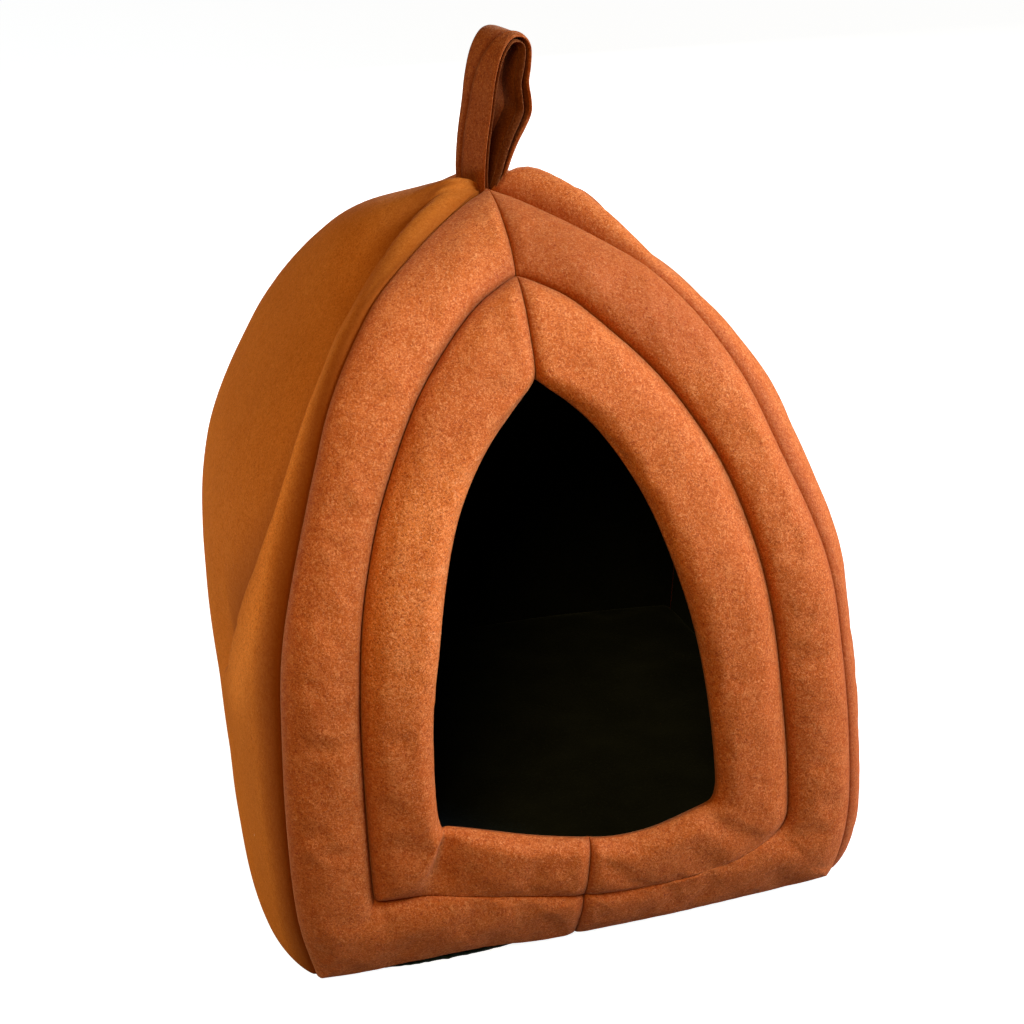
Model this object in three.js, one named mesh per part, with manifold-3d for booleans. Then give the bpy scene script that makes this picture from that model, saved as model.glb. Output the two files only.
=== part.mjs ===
// A tent-shaped pet bed: four padded fleece walls that meet in a soft tip, an arched door framed by
// two padded rings, a floor pad on a dark base cloth, and a folded carry loop on the tip.
// Millimetres, +Z up, the door faces -Y. The origin is on the floor at the middle of the base.

import * as THREE from 'three';
import { mergeVertices } from 'three/addons/utils/BufferGeometryUtils.js';
import Module from 'manifold-3d';

// Clearances between neighbouring pieces
const HALF_GAP = 0.18;
const RING_GAP = 0.27;
const SEAT_GAP = 0.3;

// Walls: half width of the square plan at each height, measured at the seams
const FOOT = 2.3;
const WALL_ROWS = [
  // height, half width
  [0, 140],
  [43, 146],
  [90, 146],
  [144, 142.5],
  [198, 135.5],
  [252, 117],
  [295, 98],
  [331, 68],
  [348, 36],
  [361, 1.4],
];
const TIP = WALL_ROWS[WALL_ROWS.length - 1][0];

// Padding: thickness at a pinched seam, extra rise between seams, and how far from a seam it is full
const SEAM_THICK = 6;
const RING_RISE = 8;
const RING_ROUND = 14;
const WALL_ROUND = 14;
const REAR_ROUND = 38;
const END_ROUND = 9;
const DOOR_ROLL = 9;
const DOOR_BLUNT = 1.2;

// Near the ground the padding starts part of the way up its round, and the corners are softer
const FOOT_ROUND = 16;
const FOOT_BLUNT = 4;
const FOOT_CORNER_ROUND = 42;
const FOOT_CORNER_HEIGHT = 40;

// Outward swell of each whole wall, and rise of the padding of the side and back walls.
// The left wall swells most at the ground and again at half height.
const SWELL_ROWS = [
  // height, left wall, right and back walls, front
  [0, 20, 14, 1.6],
  [18, 16, 13, 5.8],
  [40, 13, 12, 10],
  [90, 12.5, 12, 10.6],
  [140, 16, 12, 10.3],
  [190, 16.5, 10.5, 9.6],
  [240, 12.5, 5, 8],
  [280, 3.5, 0.5, 6.4],
  [305, -0.5, -3.5, 5],
  [325, 1, -4, 3.6],
  [345, 6, 2, 1.7],
  [361, 1, 1, 0],
];
const RISE_ROWS = [
  // height, left wall, right and back walls
  [0, 7.5, 8],
  [110, 7.5, 8.5],
  [180, 7.5, 8.5],
  [230, 7, 10.5],
  [270, 6, 11],
  [295, 5.5, 8],
  [315, 6, 1.5],
  [332, 8, 1],
  [345, 12, 8],
  [354, 15.5, 12],
  [361, 15, 14],
];

// The tip leans a little to the right and to the front
const LEAN_FROM = 240;
const LEAN = new THREE.Vector2(4.5, -4.5);

// The front right corner is drawn in where it meets the ground
const TUCK_HEIGHT = 24;
const TUCK_DEPTH = 5;
const TUCK_START = 0.1;

// The base cloth turns up at the front, left of the centre, so its dark edge shows there
const CLOTH_THICK = 2;
const CLOTH_INSET = 0.5;
const TURN_UP = 3;
const TURN_UP_MIDDLE = -74;
const TURN_UP_REACH = 46;

// Front rings, one row for each station from the top centre seam round to the bottom centre seam.
// edge share: place along the wall's half width (1 is the corner seam); x and z are seen from the front.
// edge rise and seam rise: how far a seam stands proud where it isn't pulled in.
// outer full and inner full: fullness of the padding, low at a crease.
const LEFT_ROWS = [
  // edge share, edge z, seam x, seam z, door x, door z, edge rise, seam rise, outer full, inner full
  [0, 361, 0, 337.5, 0, 300, 0, 0, 1, 1],
  [1, 357.5, 9, 335, 5, 295, 0, 0, 1, 1],
  [1, 351, 23, 329, 14, 287, 0, 0, 1, 1],
  [1, 341, 40, 316, 26, 275, 0, 0, 1, 1],
  [1, 326, 57, 297.5, 38, 258, 0, 0, 1, 1],
  [1, 305, 71, 274, 48, 238, 0, 0, 1, 1],
  [1, 277, 85, 243, 56.5, 212, 0, 0, 1, 1],
  [1, 240, 96.5, 206, 63, 183, 0, 0, 1, 1],
  [1, 195, 102.5, 166, 68, 157, 0, 0, 1, 1],
  [1, 145, 105.5, 125, 70.5, 131, 0, 0, 1, 1],
  [1, 95, 107, 88, 71.5, 111, 0, 0, 1, 1],
  [1, 52, 107.5, 64, 71.5, 99, 0, 0, 1, 1],
  [1, 24, 106, 55, 71, 94, 0, 0, 1, 1],
  [1, 0, 101, 52.3, 70.5, 91.5, 0, 0, 0.95, 1],
  [0.86, 0, 91, 52, 70, 90.5, 2, 0, 1, 0.95],
  [0.7, 0, 79, 51.8, 68.5, 90, 2, 0, 1, 0.45],
  [0.54, 0, 65, 50.5, 60, 88.5, 2, 0, 1, 0.8],
  [0.38, 0, 48, 47.5, 45, 84, 2, 0, 1, 1],
  [0.2, 0, 27, 42.5, 25, 77.5, 2, 0, 1, 1],
  [0.036, 0, 0.9, 36, -3.4, 70, 2, 0, 1, 1],
];
const RIGHT_ROWS = [
  // edge share, edge z, seam x, seam z, door x, door z, edge rise, seam rise, outer full, inner full
  [0, 361, 0, 337.5, 0, 300, 0, 0, 1, 1],
  [1, 357.5, 9, 334.5, 6, 295, 0, 0, 1, 1],
  [1, 351, 23, 328, 16, 287, 0, 0, 1, 1],
  [1, 341, 39, 315, 27, 275, 0, 0, 1, 1],
  [1, 326, 57, 297.5, 38, 258, 0, 0, 1, 1],
  [1, 305, 73, 276, 48, 237, 0, 0, 1, 1],
  [1, 277, 88, 247.5, 56, 211, 0, 0, 1, 1],
  [1, 240, 99, 210, 63, 181, 0, 0, 1, 1],
  [1, 195, 105.5, 169, 67.5, 152, 0, 0, 1, 1],
  [1, 145, 108.5, 130, 70, 126, 0, 0, 1, 1],
  [1, 95, 110.5, 96, 71.5, 102, 0, 0, 1, 1],
  [1, 55, 111, 70, 72, 87, 0, 0, 1, 1],
  [1, 27, 110.5, 57, 71, 80, 0, 0, 1, 1],
  [1, 0, 106, 49.5, 68.5, 76, 0, 1, 1, 1],
  [0.84, 0, 97, 45, 63, 74, 0.5, 4, 1, 0.85],
  [0.68, 0, 85, 41, 56, 72.5, 0.5, 5, 1, 1],
  [0.52, 0, 66, 37, 46, 70, 0.5, 5, 1, 1],
  [0.36, 0, 47, 34.5, 35, 68, 0.5, 3, 1, 1],
  [0.18, 0, 25, 33.5, 19, 67.5, 0.5, 0.5, 1, 1],
  [-0.036, 0, -0.9, 36, 3.4, 70, 2, 0, 1, 1],
];
const EDGE_SHARE = 0;
const EDGE_Z = 1;
const SEAM_X = 2;
const SEAM_Z = 3;
const DOOR_X = 4;
const DOOR_Z = 5;
const EDGE_RISE = 6;
const SEAM_RISE = 7;
const OUTER_FULL = 8;
const INNER_FULL = 9;
const SECTIONS_PER_ROW = 2;
const RING_STEPS = 7;

// Side and back walls: shares of the half width that the columns stand on, and the heights of the rows
const WALL_SHARES = [0, 0.3, 0.54, 0.7, 0.79, 0.86, 0.92, 0.964, 0.989, 1];
const WALL_LEVELS = [
  0, 5, 12, 25, 45, 70, 100, 130, 160, 190, 218, 244, 268, 288, 305, 319, 331, 341, 349, 355, 361,
];

// The left wall is pressed in behind a crease: distance from the front seam at each height
const CREASE_ROWS = [
  // distance from the front seam, height
  [33, 352],
  [30, 335],
  [22, 319],
  [20, 300],
  [24, 270],
  [27, 247],
  [38, 225],
  [62, 196],
  [111, 148],
  [165, 110],
];
const CREASE_DEPTH = 8;
const CREASE_EDGE = 9;
const CREASE_FADE = 42;
const CREASE_FULL_HALF = 60;

// Floor pad
const PAD_GAP = 1;
const PAD_FOOT_INSET = 1.5;
const PAD_EDGE_INSET = 2;
const PAD_SIDE_Z = 8;
const PAD_EDGE_Z = 15;
const PAD_CROWN = 6;
const PAD_SHARES = [0.92, 0.75, 0.5, 0.24];
const FOOT_SHARES = [-0.93, -0.84, -0.7, -0.5, -0.25, 0, 0.25, 0.5, 0.7, 0.84, 0.93, 1];

// Carry loop: a folded strip, its middle line seen across the strip
const LOOP_WIDTH = 28;
const LOOP_TURN = THREE.MathUtils.degToRad(-70);
const LOOP_CORNER = new THREE.Vector3(-10.2, 15.5, 360);
const LOOP_ROWS = [
  // across, height above the tip, thickness, half width of the slit in the rim
  [2.6, -4, 5.4, 0.5],
  [2.8, 2, 5.4, 0.5],
  [3.4, 12, 5.4, 0.5],
  [5.6, 26, 5.4, 0.5],
  [9.4, 42, 5.4, 0.5],
  [13.4, 54, 5.4, 0.5],
  [18.2, 65.5, 5.6, 0.6],
  [23.6, 73, 5.6, 0.7],
  [28.8, 73.6, 5.8, 0.8],
  [32, 69, 6, 0.9],
  [31, 60, 6.6, 1.1],
  [29, 52, 7.4, 1.4],
  [29.6, 44, 8, 1.6],
  [29.6, 37.5, 8, 1.6],
  [26.2, 31.5, 7.6, 1.4],
  [21.6, 25, 7, 1.2],
  [17.4, 17.5, 6.2, 0.9],
  [13, 8, 5.6, 0.6],
  [10.2, 2, 5.2, 0.5],
  [9.2, -4, 5.2, 0.5],
];
const LOOP_SECTIONS_PER_ROW = 2;
const LOOP_SLIT_DEPTH = 6;
const LOOP_SLIT_END = 0.25;
const LOOP_LAYER_EDGE = 0.7;
const LOOP_ROUND = 2.5;
const LOOP_FOLD_AT = 9.5;
const LOOP_FOLD_HALF = 1.3;
const LOOP_FOLD_DEPTH = 1.3;
const TIP_PLUG = 5;
const TIP_PLUG_TOP = 3;

// Fleece in rust orange, and the dark cloth below
const FLEECE = { color: 0xb4561f, roughness: 0.95, metalness: 0 };
const DARK_CLOTH = { color: 0x1d2620, roughness: 0.9, metalness: 0 };

const UP = new THREE.Vector3(0, 0, 1);
const SLOPE_STEP = 0.5;

const wasm = await Module();
wasm.setup();

function catmull(before, from, to, after, share) {
  const square = share * share;
  const cube = square * share;
  const bend = (to - before) * share + (2 * before - 5 * from + 4 * to - after) * square;
  return from + 0.5 * (bend + (3 * from - before - 3 * to + after) * cube);
}

// Adds smooth rows between the rows of a table
function refine(rows, perRow) {
  const result = [];
  for (let i = 0; i < rows.length - 1; i += 1) {
    const before = rows[Math.max(i - 1, 0)];
    const after = rows[Math.min(i + 2, rows.length - 1)];
    for (let step = 0; step < perRow; step += 1) {
      const share = step / perRow;
      const blend = (from, column) => catmull(before[column], from, rows[i + 1][column], after[column], share);
      result.push(rows[i].map(blend));
    }
  }
  result.push(rows[rows.length - 1]);
  return result;
}

// A column of a table at a height, on a smooth curve through the rows
function columnAt(rows, column, z) {
  const last = rows.length - 2;
  const above = rows.findIndex((row) => z < row[0]);
  const i = above < 0 ? last : THREE.MathUtils.clamp(above - 1, 0, last);
  const slope = (k) => {
    const low = rows[Math.max(k - 1, 0)];
    const high = rows[Math.min(k + 1, rows.length - 1)];
    return (high[column] - low[column]) / (high[0] - low[0]);
  };
  const span = rows[i + 1][0] - rows[i][0];
  const from = rows[i][column];
  const to = rows[i + 1][column];
  const share = (z - rows[i][0]) / span;
  const leaving = slope(i) * span;
  const arriving = slope(i + 1) * span;
  const square = 3 * (to - from) - 2 * leaving - arriving;
  const cube = 2 * (from - to) + leaving + arriving;
  return from + share * (leaving + share * (square + share * cube));
}

// Half width of the walls at a height
function wallHalf(z) {
  return columnAt(WALL_ROWS, 1, z);
}

// Outward normal of the wall's profile: x is outward, y is up
function wallNormal(z) {
  const slope = (wallHalf(z + SLOPE_STEP) - wallHalf(z - SLOPE_STEP)) / (2 * SLOPE_STEP);
  return new THREE.Vector2(1, -slope).normalize();
}

// 0 at a pinched seam, 1 where the padding is full
function pillow(distance, round) {
  const left = 1 - THREE.MathUtils.clamp(distance / round, 0, 1);
  return Math.sqrt(1 - left * left);
}

// How far the front right corner is drawn in near the ground
function tuck(z, share) {
  const side = THREE.MathUtils.smoothstep(share, TUCK_START, 1);
  return TUCK_DEPTH * side * (1 - pillow(z, TUCK_HEIGHT));
}

// Extra height of the base cloth and of the wall above it at the front
function turnUp(x) {
  const reach = THREE.MathUtils.clamp((x - TURN_UP_MIDDLE) / TURN_UP_REACH, -1, 1);
  return TURN_UP * (1 - reach * reach) ** 2;
}

// The walls. turn: angle about Z from the front. tuckSide: the side of the drawn-in corner.
// swell and rise: the wall's column in SWELL_ROWS and RISE_ROWS. frontSide: the side that meets the front.
const FRONT = { turn: 0, tuckSide: 1, swell: 3 };
const RIGHT = { turn: Math.PI / 2, tuckSide: -1, swell: 2, rise: 2, frontSide: -1 };
const BACK = { turn: Math.PI, tuckSide: 0, swell: 2, rise: 2, frontSide: 0 };
const LEFT = { turn: -Math.PI / 2, tuckSide: 0, swell: 1, rise: 1, frontSide: 1 };

// A point of a wall in the wall's own frame, where it faces -Y.
// share: place across the half width, rise: distance outward from the seam surface.
function wallPoint(wall, share, z, rise) {
  const half = wallHalf(z) - tuck(z, share * wall.tuckSide);
  const normal = wallNormal(z);
  const depth = Math.max(half + rise * normal.x, half / 2);
  const swell = columnAt(SWELL_ROWS, wall.swell, z) * (1 - share * share);
  const x = share * (Math.min(half, depth) - HALF_GAP * Math.SQRT2);
  const floor = FOOT + (wall === FRONT ? turnUp(x) : 0);
  const point = new THREE.Vector3(x, -(depth + swell), z + rise * normal.y);
  point.z = Math.max(point.z, floor);
  const high = Math.max((point.z - LEAN_FROM) / (TIP - LEAN_FROM), 0) ** 2;
  const lean = LEAN.clone().rotateAround(new THREE.Vector2(), -wall.turn);
  point.x += lean.x * high;
  point.y += lean.y * high;
  return point;
}

// Joins closed sections of equal point count into a solid. Each section is an outer chain followed by the
// inner chain in reverse, so that the caps are strips between the two chains.
function loft(sections) {
  const count = sections[0].length;
  const positions = sections.flat().flatMap((point) => point.toArray());
  const index = [];
  const quad = (a, b, c, d) => index.push(a, b, c, a, c, d);
  for (let s = 0; s < sections.length - 1; s += 1) {
    for (let i = 0; i < count; i += 1) {
      const next = (i + 1) % count;
      quad(s * count + i, s * count + next, (s + 1) * count + next, (s + 1) * count + i);
    }
  }
  const end = (sections.length - 1) * count;
  for (let i = 0; i < count / 2 - 1; i += 1) {
    quad(count - 1 - i, count - 2 - i, i + 1, i);
    quad(end + i, end + i + 1, end + count - 2 - i, end + count - 1 - i);
  }
  const geometry = new THREE.BufferGeometry();
  geometry.setAttribute('position', new THREE.Float32BufferAttribute(positions, 3));
  geometry.setIndex(signedVolume(positions, index) < 0 ? index.reverse() : index);
  return geometry;
}

function signedVolume(positions, index) {
  const corner = (i) => new THREE.Vector3().fromArray(positions, 3 * i);
  let sum = 0;
  for (let i = 0; i < index.length; i += 3) {
    sum += corner(index[i]).dot(corner(index[i + 1]).cross(corner(index[i + 2])));
  }
  return sum;
}

function toManifold(geometry) {
  const merged = mergeVertices(geometry.clone().deleteAttribute('normal').deleteAttribute('uv'));
  return new wasm.Manifold(
    new wasm.Mesh({
      numProp: 3,
      vertProperties: new Float32Array(merged.attributes.position.array),
      triVerts: new Uint32Array(merged.index.array),
    }),
  );
}

function fromManifold(solid) {
  const mesh = solid.getMesh();
  const geometry = new THREE.BufferGeometry();
  geometry.setAttribute('position', new THREE.BufferAttribute(mesh.vertProperties, 3));
  geometry.setIndex(new THREE.BufferAttribute(mesh.triVerts, 1));
  return geometry;
}

// Moves each end of a line towards the other by a gap
function shrink(start, finish, gap) {
  const inward = finish.clone().sub(start).setLength(gap);
  return [start.clone().add(inward), finish.clone().sub(inward)];
}

// Half of a front ring. side: -1 left, 1 right. inner: the ring at the door, else the outer ring.
function ringHalf(rows, side, inner) {
  const stations = refine(rows, SECTIONS_PER_ROW).map((row, i, all) => {
    const seamSide = i === 0 || i === all.length - 1 ? HALF_GAP : 0;
    const edgeZ = Math.max(row[EDGE_Z], 0);
    const edge = new THREE.Vector2(Math.min(row[EDGE_SHARE], 1) * wallHalf(edgeZ), edgeZ);
    const seam = new THREE.Vector2(row[SEAM_X], row[SEAM_Z]);
    const door = new THREE.Vector2(row[DOOR_X], row[DOOR_Z]);
    let [start, finish] = inner ? [seam, door] : [edge, seam];
    const [shrunkStart, shrunkFinish] = shrink(start, finish, RING_GAP);
    start = inner ? shrunkStart : start;
    finish = inner ? finish : shrunkFinish;
    start.x += seamSide;
    finish.x += seamSide;
    const full = inner ? row[INNER_FULL] : row[OUTER_FULL];
    const startRise = inner ? row[SEAM_RISE] : row[EDGE_RISE];
    const finishRise = inner ? 0 : row[SEAM_RISE];
    return { start, finish, full, startRise, finishRise };
  });
  const middle = stations.map((s) => s.start.clone().add(s.finish).multiplyScalar(0.5));
  const travelled = [0];
  for (let i = 1; i < middle.length; i += 1) {
    travelled.push(travelled[i - 1] + middle[i].distanceTo(middle[i - 1]));
  }
  const whole = travelled[travelled.length - 1];
  const sections = stations.map((station, i) => {
    const fromEnd = Math.min(travelled[i], whole - travelled[i]);
    return ringSection(station, side, inner, pillow(fromEnd, END_ROUND));
  });
  return loft(sections);
}

function ringSection(station, side, inner, ending) {
  const width = station.start.distanceTo(station.finish);
  const round = Math.min(RING_ROUND, width * 0.5);
  const outer = [];
  const back = [];
  const rollMiddle = (RING_RISE * ending * station.full - SEAM_THICK) / 2;
  const rollHalf = rollMiddle + SEAM_THICK;
  for (let i = 0; i <= RING_STEPS; i += 1) {
    const share = (1 - Math.cos((Math.PI * i) / RING_STEPS)) / 2;
    const spot = station.start.clone().lerp(station.finish, share);
    const fromStart = share * width;
    const fromFinish = width - fromStart;
    const finishFull = inner ? 1 : pillow(fromFinish, round);
    const full = pillow(fromStart, round) * finishFull * ending;
    const edgeRise = THREE.MathUtils.lerp(station.startRise, station.finishRise, share) * ending;
    let rise = RING_RISE * station.full * full + edgeRise * (1 - full);
    let depth = -SEAM_THICK;
    if (inner && fromFinish < DOOR_ROLL) {
      const roll = Math.max(rollHalf * pillow(fromFinish, DOOR_ROLL), DOOR_BLUNT);
      rise = Math.min(rise, rollMiddle + roll);
      depth = rollMiddle - roll;
    }
    outer.push(frontPoint(spot, side, rise));
    back.push(frontPoint(spot, side, depth));
  }
  return outer.concat(back.reverse());
}

function frontPoint(spot, side, rise) {
  return wallPoint(FRONT, (side * spot.x) / wallHalf(spot.y), spot.y, rise);
}

// Depth of the pressed-in area of the left wall at a distance from the front seam and a height
function creaseDepth(fromSeam, z) {
  let nearest = Infinity;
  let sign = 1;
  for (let i = 0; i < CREASE_ROWS.length - 1; i += 1) {
    const start = new THREE.Vector2(...CREASE_ROWS[i]);
    const finish = new THREE.Vector2(...CREASE_ROWS[i + 1]);
    const stretch = finish.clone().sub(start);
    const spot = new THREE.Vector2(fromSeam, z).sub(start);
    const share = THREE.MathUtils.clamp(spot.dot(stretch) / stretch.lengthSq(), 0, 1);
    const gap = spot.addScaledVector(stretch, -share);
    if (gap.length() < nearest) {
      nearest = gap.length();
      sign = Math.sign(stretch.cross(gap)) || 1;
    }
  }
  const behind = sign * nearest;
  const step = THREE.MathUtils.smoothstep(behind, 0, CREASE_EDGE);
  const fade = Math.exp(-((Math.max(behind - CREASE_EDGE, 0) / CREASE_FADE) ** 2));
  return CREASE_DEPTH * step * fade;
}

// Rise of the padding of a side or back wall over the seam surface
function wallRise(wall, share, z) {
  const half = wallHalf(z);
  const upperRound = share * wall.frontSide > 0 ? WALL_ROUND : REAR_ROUND;
  const aboveFoot = THREE.MathUtils.smoothstep(z, 0, FOOT_CORNER_HEIGHT);
  const round = THREE.MathUtils.lerp(FOOT_CORNER_ROUND, upperRound, aboveFoot);
  const seam = pillow((1 - Math.abs(share)) * half, Math.min(round, half));
  const foot = pillow(z + FOOT_BLUNT, FOOT_ROUND);
  const most = columnAt(RISE_ROWS, wall.rise, z) * Math.sqrt(Math.min(half / WALL_ROUND, 1));
  const pressed = wall === LEFT ? creaseDepth((1 - share) * half, z) : 0;
  return (most * foot - pressed * Math.min(half / CREASE_FULL_HALF, 1)) * seam;
}

function wallPanel(wall) {
  const shares = WALL_SHARES.slice(1).map((value) => -value).reverse().concat(WALL_SHARES);
  const sections = WALL_LEVELS.map((z) => {
    const outer = shares.map((share) => wallPoint(wall, share, z, wallRise(wall, share, z)));
    const inner = shares.map((share) => wallPoint(wall, share, z, -SEAM_THICK));
    return outer.concat(inner.reverse());
  });
  return loft(sections);
}

// Closed outline along the foot of the walls, in the whole object's frame. rise: distance outward from
// the seam surface, inset: distance drawn in from there, z: height that the outline is laid at.
function footOutline(rise, inset, z) {
  const points = [];
  for (const wall of [FRONT, RIGHT, BACK, LEFT]) {
    for (const share of FOOT_SHARES) {
      const point = wallPoint(wall, share, 0, rise).applyAxisAngle(UP, wall.turn);
      point.multiplyScalar(1 - inset / Math.hypot(point.x, point.y));
      points.push(point.setZ(z));
    }
  }
  return points;
}

// Stacks closed outlines and closes both ends with a fan
function stack(rings) {
  const count = rings[0].length;
  const points = rings.flat();
  for (const ring of [rings[0], rings[rings.length - 1]]) {
    const centre = new THREE.Vector3();
    ring.forEach((point) => centre.addScaledVector(point, 1 / count));
    points.push(centre);
  }
  const bottom = points.length - 2;
  const top = points.length - 1;
  const index = [];
  for (let i = 0; i < count; i += 1) {
    const next = (i + 1) % count;
    for (let r = 0; r < rings.length - 1; r += 1) {
      const low = r * count;
      const high = low + count;
      index.push(low + i, low + next, high + next, low + i, high + next, high + i);
    }
    index.push(bottom, next, i, top, (rings.length - 1) * count + i, (rings.length - 1) * count + next);
  }
  const positions = points.flatMap((point) => point.toArray());
  const geometry = new THREE.BufferGeometry();
  geometry.setAttribute('position', new THREE.Float32BufferAttribute(positions, 3));
  geometry.setIndex(signedVolume(positions, index) < 0 ? index.reverse() : index);
  return geometry;
}

function floorPad() {
  const ring = (inset, z) => footOutline(-SEAM_THICK, PAD_GAP + inset, z);
  const rim = ring(PAD_EDGE_INSET, PAD_EDGE_Z);
  const crown = PAD_SHARES.map((share) => {
    const lift = PAD_CROWN * Math.sqrt(1 - share * share);
    return rim.map((point) => new THREE.Vector3(point.x * share, point.y * share, PAD_EDGE_Z + lift));
  });
  return stack([ring(PAD_FOOT_INSET, FOOT), ring(0, PAD_SIDE_Z), rim, ...crown]);
}

function baseCloth() {
  const foot = footOutline(0, CLOTH_INSET, 0);
  const rim = foot.map((point) => {
    const atFront = point.y < 0 && Math.abs(point.x) < -point.y;
    return point.clone().setZ(CLOTH_THICK + (atFront ? turnUp(point.x) : 0));
  });
  const inside = footOutline(0, CLOTH_INSET + CLOTH_THICK, CLOTH_THICK);
  return stack([foot, rim, inside]);
}

// Section of the folded strip: a runs across its width, b outward from the middle of its thickness.
// The outer face has a stitched fold line, and the rim on the far side shows the slit between two layers.
function stripSection(thickness, slit) {
  const edge = LOOP_WIDTH / 2;
  const face = thickness / 2;
  const shoulder = face * 0.75;
  const nearly = edge - LOOP_ROUND / 4;
  const flat = edge - LOOP_ROUND;
  const fold = LOOP_FOLD_AT - edge;
  const rim = slit + LOOP_LAYER_EDGE;
  const slitEnd = edge - LOOP_SLIT_DEPTH;
  return [
    [-edge, LOOP_LAYER_EDGE],
    [-nearly, shoulder],
    [-flat, face],
    [fold - LOOP_FOLD_HALF, face],
    [fold, face - LOOP_FOLD_DEPTH],
    [fold + LOOP_FOLD_HALF, face],
    [flat, face],
    [nearly, shoulder],
    [edge, rim],
    [nearly, slit],
    [slitEnd, LOOP_SLIT_END],
    [slitEnd, -LOOP_SLIT_END],
    [nearly, -slit],
    [edge, -rim],
    [nearly, -shoulder],
    [flat, -face],
    [slitEnd, -face],
    [fold + LOOP_FOLD_HALF, -face],
    [fold - LOOP_FOLD_HALF, -face],
    [-flat, -face],
    [-nearly, -shoulder],
    [-edge, -LOOP_LAYER_EDGE],
  ];
}

function carryStrip() {
  const rows = refine(LOOP_ROWS, LOOP_SECTIONS_PER_ROW);
  const width = new THREE.Vector3(Math.cos(LOOP_TURN), Math.sin(LOOP_TURN), 0);
  const across = new THREE.Vector3(-width.y, width.x, 0);
  const sections = rows.map(([w, z, thickness, slit], i) => {
    const from = rows[Math.max(i - 1, 0)];
    const to = rows[Math.min(i + 1, rows.length - 1)];
    const course = new THREE.Vector2(to[0] - from[0], to[1] - from[1]).normalize();
    const outward = new THREE.Vector3(0, 0, course.x).addScaledVector(across, -course.y);
    const middle = LOOP_CORNER.clone().addScaledVector(width, LOOP_WIDTH / 2).addScaledVector(across, w);
    middle.z += z;
    return stripSection(thickness, slit).map(([a, b]) => {
      return middle.clone().addScaledVector(width, a).addScaledVector(outward, b);
    });
  });
  return loft(sections);
}

// The loop stands on the roof, so the roof's shape is cut from its two ends
function carryLoop() {
  let strip = toManifold(carryStrip());
  const roof = [
    [ringHalf(LEFT_ROWS, -1, false), FRONT],
    [ringHalf(RIGHT_ROWS, 1, false), FRONT],
    [wallPanel(RIGHT), RIGHT],
    [wallPanel(BACK), BACK],
    [wallPanel(LEFT), LEFT],
  ];
  for (const [geometry, wall] of roof) {
    const solid = toManifold(geometry.rotateZ(wall.turn));
    for (const [right, back] of [[1, 1], [1, -1], [-1, 1], [-1, -1]]) {
      strip = strip.subtract(solid.translate([right * SEAT_GAP, back * SEAT_GAP, SEAT_GAP]));
    }
  }
  const plug = new THREE.BoxGeometry(TIP_PLUG, TIP_PLUG, 4 * TIP_PLUG);
  plug.translate(LEAN.x, LEAN.y, TIP + TIP_PLUG_TOP - 2 * TIP_PLUG);
  return fromManifold(strip.subtract(toManifold(plug)));
}

const bed = new THREE.Group();

function add(name, geometry, look, turn) {
  geometry.computeVertexNormals();
  const mesh = new THREE.Mesh(geometry, new THREE.MeshStandardMaterial(look));
  mesh.name = name;
  mesh.rotation.z = turn;
  bed.add(mesh);
}

add('front_ring_outer_left', ringHalf(LEFT_ROWS, -1, false), FLEECE, FRONT.turn);
add('front_ring_outer_right', ringHalf(RIGHT_ROWS, 1, false), FLEECE, FRONT.turn);
add('front_ring_inner_left', ringHalf(LEFT_ROWS, -1, true), FLEECE, FRONT.turn);
add('front_ring_inner_right', ringHalf(RIGHT_ROWS, 1, true), FLEECE, FRONT.turn);
add('side_right', wallPanel(RIGHT), FLEECE, RIGHT.turn);
add('back_panel', wallPanel(BACK), FLEECE, BACK.turn);
add('side_left', wallPanel(LEFT), FLEECE, LEFT.turn);
add('floor_panel', floorPad(), DARK_CLOTH, 0);
add('base_cloth', baseCloth(), DARK_CLOTH, 0);
add('carry_loop', carryLoop(), FLEECE, 0);

export default bed;
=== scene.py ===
import math
import bpy
import numpy as np
from mathutils import Matrix, Vector
from mathutils.bvhtree import BVHTree


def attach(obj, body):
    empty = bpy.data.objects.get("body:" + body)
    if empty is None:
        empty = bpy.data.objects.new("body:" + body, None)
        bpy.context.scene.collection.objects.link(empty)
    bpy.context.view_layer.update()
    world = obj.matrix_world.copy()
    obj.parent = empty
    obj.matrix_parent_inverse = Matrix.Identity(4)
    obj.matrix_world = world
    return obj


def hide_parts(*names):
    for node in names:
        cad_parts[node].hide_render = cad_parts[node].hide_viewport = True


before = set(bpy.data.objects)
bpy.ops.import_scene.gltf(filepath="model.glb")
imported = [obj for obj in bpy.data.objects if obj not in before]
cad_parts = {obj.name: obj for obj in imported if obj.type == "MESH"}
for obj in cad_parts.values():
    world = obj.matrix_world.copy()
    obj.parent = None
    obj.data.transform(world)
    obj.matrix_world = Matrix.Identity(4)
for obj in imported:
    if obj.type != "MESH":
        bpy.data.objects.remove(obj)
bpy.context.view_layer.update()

# Shape tables in millimetres, after the part's own source
MM = 0.001
HALF_GAP = 0.1
SEAM_SLANT = 1.2
SLANT_POWER = 8
SLANT_FULL_HALF = 30
RING_GAP = 0.12
RING_GAP_CLOSED = 0.65
RING_GAP_RISES = (1, 3.5)
SEAT_GAP = 0.3
SEAT_STEP = 0.02
ABOVE_ALL = 0.6
FOOT = 2.3
WALL_ROWS = [
    # height, half width
    [0, 140],
    [43, 146],
    [90, 146],
    [144, 142.5],
    [198, 135.5],
    [252, 117],
    [295, 98],
    [331, 68],
    [348, 36],
    [361, 1.4],
]
TIP = WALL_ROWS[-1][0]
HALF_MOST = max(half for height, half in WALL_ROWS)
SEAM_THICK = 6.0
RING_RISE = 8.4
RING_ROUND = 0.42
WALL_ROUND = 14
REAR_ROUND = 38
END_ROUND = 7
END_KEPT = 0.6
DOOR_ROLL = 9
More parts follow.
